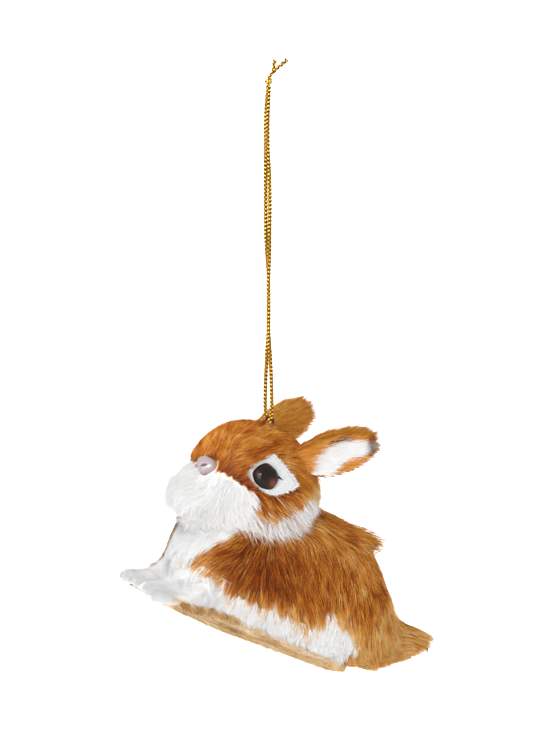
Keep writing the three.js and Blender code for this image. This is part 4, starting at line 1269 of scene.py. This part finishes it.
# Hairs of an ear from roots on one side of the leaf, 1 the face and -1 the back, combed to its tip and off
# its edges
def earHairs(ear, at, across, side, length, shade, pick):
    p, n, x, y = onLeaf(ear, at, across)
    n = n * side
    count = len(p)
    way = x + y * (0.3 * across)[:, None] + pick.normal(size=(count, 3)) * 0.11
    way = unit(way - (way * n).sum(1)[:, None] * n)
    long = length * pick.uniform(0.6, 1.15, count)
    rise = np.clip(0.2 + 0.08 * pick.normal(size=count), 0.04, 0.6)
    root = p + n * (earSizes["thick"] / 2 - 0.15)
    tip = root + way * (long * np.sqrt(1 - rise * rise))[:, None] + n * (long * rise)[:, None]
    bend = root + way * (0.45 * long)[:, None] + n * (0.35 * long * np.minimum(rise + 0.25, 0.8))[:, None]
    rim = fade(np.where(across > 0, across, -0.6 * across), 0.55, 0.95)[:, None]
    end = fade(at, 0.75, 1.0)[:, None]
    shine = unit(n * (1 - np.maximum(rim, end)) + y * np.sign(across)[:, None] * rim + x * end)
    width = earSizes["hairWide"] * pick.uniform(*hairSpread, count)
    return hairs(root, bend, tip, width, shade, 2, shine, 0.7)


# The leaf itself: a brown sheet, and a white one on its face
def earLeaf(ear):
    a, c = np.meshgrid(np.linspace(-0.4, 1, 34), np.linspace(-1, 1, 21), indexing="ij")
    p, n, _, _ = onLeaf(ear, a.ravel(), c.ravel())
    grid, out = p.reshape(a.shape + (3,)), n.reshape(a.shape + (3,))
    lift = out * earSizes["thick"] / 2
    patch = earSizes["lining"]
    back, backQuads = slab(grid + 0.9 * lift, grid - lift)
    face, faceQuads = slab((grid + 1.3 * lift)[patch], (grid + 0.95 * lift)[patch])
    if ear["hand"] < 0:
        backQuads, faceQuads = backQuads[:, ::-1], faceQuads[:, ::-1]
    faceOut = np.tile(out[patch].reshape(-1, 3), (2, 1))
    return ((back, backQuads, noTris, np.tile([0.66, 0.2], (len(back), 1))),
            (face, faceQuads, noTris, np.tile([0.06, 0.3], (len(face), 1)), faceOut))


def makeEar(which, seed):
    ear = earSizes[which]
    pick = np.random.default_rng(seed)
    back, face = earLeaf(ear)
    browns, whites = [back], [face]
    # The back, all brown
    count = earSizes["backHairs"]
    a, c = pick.uniform(-0.35, 1.0, count), pick.uniform(-1, 1, count)
    shade = 0.56 + 0.08 * pick.normal(size=count) - 0.06 * np.abs(c)
    browns.append(earHairs(ear, a, c, -1, earSizes["brownLong"], shade, pick))
    # The face: white between a broad brown upper band and a narrow lower one, dark hairs under the upper band
    count = earSizes["faceHairs"]
    a, c = pick.uniform(-0.35, 1.0, count), pick.uniform(-1, 1, count)
    wander = 0.08 * np.sin(9 * a) + 0.07 * pick.normal(size=count)
    upper = (c + wander > 0.46) | (a < 0.3 * (c + wander) - 0.02)
    lower = c + wander < -0.66 - 2 * np.maximum(0.45 - a, 0)
    inner = ~(upper | lower) & (a > -0.12)
    dark = upper & (c + wander < 0.64) & (a > 0.22) & (a < 0.62) & (pick.random(count) < 0.75)
    shade = np.where(dark, 0.93, 0.55) + 0.07 * pick.normal(size=count)
    browns.append(earHairs(ear, a[~inner], c[~inner], 1, earSizes["brownLong"], shade[~inner], pick))
    shade = 0.1 + 0.04 * pick.normal(size=count)
    whites.append(earHairs(ear, a[inner], c[inner], 1, earSizes["liningLong"], shade[inner], pick))
    # A fringe past the edges
    count = earSizes["fringeHairs"]
    edge = pick.uniform(-1.2, 1.2, count)
    a = np.where(np.abs(edge) < 0.75, 0.97, 1.0 - (np.abs(edge) - 0.75) * 2.0)
    c = np.where(np.abs(edge) < 0.75, edge / 0.75, np.sign(edge))
    shade = 0.54 + 0.06 * pick.normal(size=count)
    browns.append(earHairs(ear, a, c * 0.97, 1, earSizes["fringeLong"], shade, pick))
    place("ear_pelt_" + which, *joined(browns), hairFinish, "ear_" + which + "_back", "brown_fur")
    place("ear_lining_" + which, *joined(whites), hairFinish, "ear_" + which + "_lining", "white_fur")
    print("ear", which)


makeEar("left", 61)
makeEar("right", 62)

# Eyes: a felt lozenge, and a dark glossy dome with a pointed rear corner, on each side
feltFinish = makeFinish("felt", [(0.3, (182, 185, 184)), (0.7, (204, 206, 205))], 2600, Roughness=0.9)
eyeFinish = makeChartFinish("dark_eye", [(0.0, (20, 12, 9)), (0.4, (38, 22, 15)), (0.65, (66, 36, 22)),
                                         (1.0, (112, 58, 34))], Roughness=0.05, Specular_IOR_Level=0.22)
# The eye's outline as radius by angle round its middle, and its two places of painted light: the iris's
# brown, shown only at the lower rear where light through the dome falls, and a painted highlight near its
# front edge
eyeRound = {
    "middle": (-0.2, -1.0), "angle": (-168, -146, -107, -69, -40, -15, 13, 37, 76, 113, 135, 168),
    "radius": (3.4, 3.15, 3.0, 3.2, 3.65, 3.45, 3.3, 3.2, 3.0, 3.45, 3.2, 3.15),
    "upper": [(0.8, 1.5), (2.16, 0.85), (3.3, 0.52), (4.3, 0.2)],  # the pointed corner's edges
    "lower": [(1.4, -0.3), (2.6, -0.1), (3.3, 0.08), (4.3, 0.17)],
    "litIris": (2.2, -2.0), "paintedGlint": (-2.6, -1.5),
}


def onEye(points):
    return eyeAt + points @ eyeWays


# The felt: rings from a hole under the eye out to the lozenge's edge, which drops off
def feltSheet(outline, middle):
    share = np.linspace(0, 1, 9)[:, None]
    hole = eyeSizes["feltHole"]
    reach = middle + (outline - middle)[None] * (hole + (1 - hole) * share)[..., None]
    reach[-1] += np.random.default_rng(71).normal(size=outline.shape) * eyeSizes["feltRough"]
    high = eyeSizes["feltHigh"] - eyeSizes["feltDrop"] * share ** 6
    high = np.broadcast_to(high, reach.shape[:2])[..., None]
    top = np.concatenate([reach, high], -1)
    bottom = np.concatenate([reach, np.full_like(high, eyeSizes["feltLow"])], -1)
    points, quads = slab(top, bottom, wrap=True)
    return onEye(points), quads, noTris, None, None


# Short hairs off the edge of the felt
def feltFuzz(outline, middle):
    pick = np.random.default_rng(72)
    shares = pick.random((eyeSizes["fuzz"], len(outline), 1))
    line = np.concatenate([outline + (np.roll(outline, -1, 0) - outline) * k for k in shares])
    count = len(line)
    off = unit(line - middle)
    root = np.column_stack([line - 0.3 * off, np.full(count, 0.2)])
    end = line + off * pick.uniform(0, 0.6, (count, 1)) + pick.normal(size=line.shape) * 0.25
    tip = np.column_stack([end, pick.uniform(0.3, 0.8, count)])
    width, shade = np.full(count, eyeSizes["fuzzWide"]), np.full(count, eyeSizes["fuzzShade"])
    bend = (root + tip + [0, 0, 0.5]) / 2
    return hairs(onEye(root), onEye(bend), onEye(tip), width, shade, 2, np.tile(eyeWays[2], (count, 1)))


# The colour of the eye: a bell round each of its two places of painted light, the lit iris and the painted
# highlight
def eyeIrisAndPaintedLight(points):
    near = np.exp(-((points[:, :2] - eyeRound["litIris"]) ** 2).sum(1) / 2.6)
    side = 0.7 * np.exp(-((points[:, :2] - eyeRound["paintedGlint"]) ** 2).sum(1) / 0.8)
    return np.stack([np.clip(np.maximum(near, side), 0.01, 0.99), 0.5 + 0.05 * points[:, 0]], -1)


# The dome: its outline drawn in by cos and raised by sin; the corner: a sheet between its two edges
def eyeGlass(middle):
    sides = 72
    t = np.linspace(-np.pi, np.pi, sides, endpoint=False)
    radius = np.interp(t, np.radians(eyeRound["angle"]), eyeRound["radius"], period=2 * np.pi)
    radius = (np.roll(radius, 1) + radius + np.roll(radius, -1)) / 3
    rise = np.radians(np.array([0, 0, 8, 16, 26, 36, 46, 56, 66, 76, 85]))
    flat = np.stack([np.cos(t), np.sin(t)], -1) * radius[:, None]
    high = (eyeSizes["feltHigh"] + eyeSizes["glassHigh"] * np.sin(rise))[:, None, None]
    rings = np.concatenate([middle + flat[None] * np.cos(rise)[:, None, None],
                            np.broadcast_to(high, (len(rise), sides, 1))], -1)
    rings[0, :, 2] = eyeSizes["glassLow"]
    dome, domeQuads, domeTris = capped(rings)
    k = np.linspace(0, 1, 12)
    edges = []
    for edge in ("lower", "upper"):
        line = evenly([(x, y, 0.0) for x, y in eyeRound[edge]], 0.05)
        edges.append(np.stack([np.interp(k, np.linspace(0, 1, len(line)), line[:, j]) for j in range(2)], -1))
    sheet = np.stack([edges[0], (edges[0] + edges[1]) / 2, edges[1]], 1)
    crown = np.array([0.6, 1.0, 0.6])[None, :, None]
    lift = eyeSizes["cornerHigh"] + eyeSizes["cornerLift"] * (1 - k)[:, None, None] * crown
    under = np.full(sheet.shape[:2] + (1,), eyeSizes["cornerLow"])
    corner, cornerQuads = slab(np.concatenate([sheet, lift], -1), np.concatenate([sheet, under], -1))
    points, quads, tris, mark, _ = joined([(dome, domeQuads, domeTris, eyeIrisAndPaintedLight(dome)),
                                           (corner, cornerQuads, noTris, eyeIrisAndPaintedLight(corner) * [0.2, 1])])
    return onEye(points), quads, tris, mark, None


def makeEyes():
    outline, middle = feltOutline(14)[::-1], np.array(eyeRound["middle"])
    for stem, mesh, finish, node, slotName in (
            ("felt_", feltSheet(outline, middle), feltFinish, "eye_rim_", "felt"),
            ("felt_fuzz_", feltFuzz(outline, middle), hairFinish, "eye_rim_", "felt"),
            ("eye_glass_", eyeGlass(middle), eyeFinish, "eye_", "eye_plastic")):
        place(stem + "left", *mesh, finish, node + "left", slotName)
        place(stem + "right", *mirrored(*mesh), finish, node + "right", slotName)
    print("eyes")


# Nose: a rounded triangle, domed by powers of cos and sin, with a short slit pressed into it; the slit is
# darker, and the foot darker with painted shade
noseFinish = makeChartFinish("mauve_nose", [(0.0, (163, 149, 151)), (0.4, (124, 107, 110)),
                                            (1.0, (36, 24, 28))], Roughness=0.4)


def makeNose():
    w, t, square = noseSizes["wide"] / 2, noseSizes["tall"] / 2, noseSizes["square"]
    sides = 64
    turn = np.linspace(-np.pi, np.pi, sides, endpoint=False)
    narrow = noseNarrow(np.sin(turn))
    outline = np.stack([w * bulge(np.cos(turn), square) * narrow, t * bulge(np.sin(turn), square)], -1)
    rise = np.radians(np.concatenate([[0], np.linspace(0, 86, 26)]))
    flat = outline[None] * np.cos(rise)[:, None, None] ** 0.8
    high = noseSizes["deep"] * np.sin(rise)[:, None] ** 0.75 * np.ones(sides)
    across, up = flat[..., 0] - noseSizes["slitAt"][0], flat[..., 1] - noseSizes["slitAt"][1]
    off = (up - noseSizes["slitLean"] * across) / noseSizes["slitTall"]
    slit = np.exp(-(across / noseSizes["slitLong"]) ** 4 - off ** 2)
    high = high - noseSizes["slitDeep"] * slit * (high > 1.2)
    # Painted shade round the foot of the dome
    slit = np.maximum(slit, 0.36 * (1 - fade(rise, 0.1, 0.55))[:, None])
    high[0] = noseSizes["low"]
    points, quads, tris = capped(np.concatenate([flat, high[..., None]], -1))
    slit = np.append(slit.ravel(), [0.0, slit[-1].mean()])
    mark = np.stack([np.clip(slit, 0.01, 0.99), 0.5 + 0.1 * points[:, 0]], -1)
    points = noseAt + points @ noseWays
    place("nose_button", points, quads, tris, mark, None, noseFinish, "nose", "nose_plastic")


# Screw eye: a closed wire ring in the rabbit's mid-plane, and a shank whose thread winds down into the head
ringSizes = {
    "radius": 1.31, "wire": 0.36, "long": 9.0, "thread": 0.54, "lead": 1.276, "drop": 0.24,
    "plain": (2.6, 3.2), "point": (8.0, 9.0),  # where the thread starts and where the shank tapers
    "ringSides": (56, 16), "shankSides": (120, 20),
}
bronzeFinish = makeFinish("bronze", [(0.3, (70, 38, 26)), (0.7, (122, 74, 50))], 1500,
                          Metallic=0.9, Roughness=0.35)


def makeRing():
    wire = ringSizes["wire"]
    steps, sides = ringSizes["ringSides"]
    t, a = np.meshgrid(np.linspace(0, 2 * np.pi, steps, endpoint=False),
                       np.linspace(0, 2 * np.pi, sides, endpoint=False), indexing="ij")
    r = ringSizes["radius"] + wire * np.cos(a)
    ring = np.stack([r * np.cos(t), wire * np.sin(a), r * np.sin(t)], -1).reshape(-1, 3)
    levels, spokes = ringSizes["shankSides"]
    z, turn = np.meshgrid(np.linspace(ringSizes["radius"], ringSizes["long"], levels),
                          -np.linspace(0, 2 * np.pi, spokes, endpoint=False), indexing="ij")
    winding = np.cos(turn + 2 * np.pi * z / ringSizes["lead"])
    ridge = np.maximum(winding, 0) ** 4 * fade(z, *ringSizes["plain"])
    r = (wire + (ringSizes["thread"] - wire) * ridge) * (1 - 0.9 * fade(z, *ringSizes["point"]))
    shank = capped(np.stack([r * np.cos(turn), r * np.sin(turn), -z], -1))
    points, quads, tris, _, _ = joined([
        (ring, ringQuads(steps, sides, closed=True), noTris, np.zeros((len(ring), 2))),
        (*shank, np.zeros((len(shank[0]), 2)))])
    points = hinge + (points - [0, 0, ringSizes["drop"]]) * mm
    dress(makePiece("screw_eye_wire", points, quads, tris), bronzeFinish, "screw_eye")


# Base: a tan hide under the body, with a worn and hairy edge
padSizes = {
    "front": -12.8, "back": 43.5, "half": 13.8, "thick": 2.2, "round": 1.6, "backRound": 10.0, "lift": 0.8,
    "hairs": 6200, "hairLong": (1.6, 4.0), "hairWide": (0.09, 0.16), "paintedCrease": 1.2,
    "fuzzLong": (1.0, 2.6), "fuzzWide": (0.08, 0.13),
}


# Rise of the underside towards both ends
def padLift(x):
    return padSizes["lift"] * (fade(-x, -4, 12) + fade(x, 34, 44))


# A point of the base's outline: shares along it and of its half width, between two ends with rounded corners
def onPad(along, across):
    y = across * padSizes["half"]

    def corner(radius):
        far = np.clip((np.abs(y) - padSizes["half"] + radius) / radius, 0, 1)
        return radius * (1 - np.sqrt(np.maximum(1 - far * far, 0)))

    front = padSizes["front"] + corner(padSizes["round"])
    back = padSizes["back"] - corner(padSizes["backRound"])
    return front + along * (back - front), y


tanFinish = makeChartFinish("tan_hide", [(0.0, (104, 62, 24)), (0.15, (178, 112, 44)), (0.35, (196, 150, 88)),
                                         (0.6, (216, 180, 124)), (1.0, (246, 230, 198))], Roughness=0.8)


# Hairs along the edge, darker along a crease with painted shade; side is -1 on the rabbit's left and 1 on its
# right
def padEdge(pick, side, out):
    count = len(side)
    x, y = onPad(pick.random(count), side)
    rootLow = -0.15 + padLift(x)
    root = np.stack([x, y * 0.995, rootLow + (2.3 - rootLow) * pick.random(count)], -1)
    way = unit(np.stack([np.ones(count), 0.1 * side, pick.normal(size=count) * 0.16 - 0.02], -1))
    long = pick.uniform(*padSizes["hairLong"], count)[:, None]
    tip = root + way * long + out * pick.uniform(0.05, 0.4, count)[:, None]
    bend = root + way * long * 0.5 + out * 0.25
    # Painted shade along the crease at the middle of the edge
    paintedCrease = np.exp(-((root[:, 2] - padSizes["paintedCrease"]) / 0.16) ** 2)
    shade = 0.6 + 0.2 * waves(root * [0.25, 1, 4], 3, 44) + 0.22 * pick.normal(size=count) - 0.45 * paintedCrease
    return hairs(root, bend, tip, pick.uniform(*padSizes["hairWide"], count), shade, 2, out, 1.0)


# Fuzz over the upper edge, combed down and back like the coat above it
def padFuzz(pick, side, out):
    count = len(side)
    x, y = onPad(pick.random(count), side)
    top = coatEnd(np.stack([x, y, 0 * x], -1)) + 0.9
    root = np.stack([x, y, 1.0 + (top - 1.0) * np.sqrt(pick.random(count))], -1)
    way = unit(np.array([1.0, 0, -0.8]) + pick.normal(size=(count, 3)) * [0.5, 0.1, 0.35])
    tip = root + way * pick.uniform(*padSizes["fuzzLong"], count)[:, None]
    for form in (bodyForm, pawForm, pawRight):
        root = settle(form, root, 0.0, only="out")
        tip = settle(form, tip, pick.uniform(0.2, 0.7, count), only="out")
    dark = fade(waves(root * [1, 0.2, 0.6], 3.2, 48), -0.8, 0.3) * fade(root[:, 2], top - 1.7, top - 0.7)
    shade = 0.64 - 0.44 * dark * fade(-x, -16, -4) + 0.2 * pick.normal(size=count)
    bend = (root + tip) / 2 + out * 0.3
    return hairs(root, bend, tip, pick.uniform(*padSizes["fuzzWide"], count), shade, 2, out, 0.9)


def makePad():
    pick = np.random.default_rng(81)
    a, c = np.meshgrid(np.linspace(0, 1, 90), np.sin(np.linspace(-np.pi / 2, np.pi / 2, 41)), indexing="ij")
    x, y = onPad(a, c)
    worn = np.stack([x, y, np.zeros_like(x)], -1).reshape(-1, 3)
    y = y * (1 + 0.006 * waves(worn, 5, 41).reshape(x.shape))
    high = padSizes["thick"] + 0.25 * waves(worn, 4, 42).reshape(x.shape)
    low = -0.2 + 0.1 * waves(worn, 6, 43).reshape(x.shape) + padLift(x)
    points, quads = slab(np.stack([x, y, high], -1), np.stack([x, y, low], -1))
    streak = 0.55 + 0.2 * waves(points * [0.2, 1, 2], 2.5, 45) + 0.1 * waves(points * [0.3, 2, 3], 2, 46)
    mark = np.stack([np.clip(streak, 0.02, 0.98), np.full(len(points), 0.5)], -1)
    count = padSizes["hairs"]
    side = np.where(pick.random(count) < 0.5, 1.0, -1.0)
    out = np.stack([np.zeros(count), side, np.zeros(count)], -1)
    parts = [(points, quads, noTris, mark), padEdge(pick, side, out), padFuzz(pick, side, out)]
    place("base_hide", *joined(parts), tanFinish, "base_pad", "tan_hide")


makeEyes()
makeNose()
makeRing()
makePad()
print("nose, screw eye and base")

# What stays of the CAD model inside: pressed cores and a peg
coreFinish = makeFinish("pressed_core", [(0.35, (150, 118, 80)), (0.65, (178, 146, 104))], 900, Roughness=0.9)
pegFinish = makeFinish("dowel", [(0.35, (196, 158, 108)), (0.65, (216, 182, 134))], 500, (1, 1, 0.08),
                       Roughness=0.6)
for node, finish in (("head_core", coreFinish), ("body_core", coreFinish), ("neck_peg", pegFinish)):
    solid = bpy.data.objects[node]
    solid.data.materials.clear()
    solid.data.materials.append(finish)
print("inside finished")

# Floor, world and lamps
stageSizes = {"world": 1.0, "floorLow": 0.06, "floorWide": 6.0, "floorTone": (246, 246, 246)}
# spot seen from the hinge, power and width of each lamp
lamps = {
    "key": ((-0.9, -0.85, 0.7), 4.5, 0.45),
    "fill": ((-1.15, -0.7, 0.3), 7.4, 0.7),
    "rim": ((0.4, 1.1, 0.8), 2.0, 0.8),
    "catch": ((-0.9, -0.85, 0.7), 40.0, 0.16),  # only for the glint on the eye and the cord
}


# A floor that the camera sees as white, under an even white sky
def makeStage():
    low = cadBox[0][2] - stageSizes["floorLow"]
    r = stageSizes["floorWide"] / 2
    corners = np.array([[-r, -r, low], [r, -r, low], [r, r, low], [-r, r, low]])
    floor = makePiece("floor", corners, [[0, 1, 2, 3]], noTris)
    material, nodes, links, shader = newFinish("floor", Roughness=0.9)
    shader.inputs["Base Color"].default_value = tone(*stageSizes["floorTone"])
    path = nodes.new("ShaderNodeLightPath")
    shader.inputs["Emission Color"].default_value = (1, 1, 1, 1)
    links.new(path.outputs["Is Camera Ray"], shader.inputs["Emission Strength"])
    floor.data.materials.append(material)
    world = bpy.data.worlds.new("studio")
    bpy.context.scene.world = world
    world.use_nodes = True
    sky = world.node_tree.nodes["Background"]
    sky.inputs["Strength"].default_value = stageSizes["world"]
    sky.inputs["Color"].default_value = (1, 1, 1, 1)


# A square lamp, turned to face the hinge
def makeLamp(name, spot, power, size):
    lamp = bpy.data.lights.new(name, "AREA")
    lamp.energy, lamp.size = power, size
    obj = bpy.data.objects.new(name, lamp)
    away = np.array(spot, float)
    z = unit(away)
    x = unit(np.cross(np.array([0.0, 0.0, 1.0]), z))
    pose = np.eye(4)
    pose[:3, 0], pose[:3, 1], pose[:3, 2], pose[:3, 3] = x, np.cross(z, x), z, hinge + away
    obj.matrix_world = Matrix(pose.tolist())
    bpy.context.scene.collection.objects.link(obj)
    return obj


makeStage()
for name, (spot, power, size) in lamps.items():
    makeLamp(name, spot, power, size).visible_diffuse = name != "catch"
bpy.context.scene.view_settings.view_transform = "Standard"
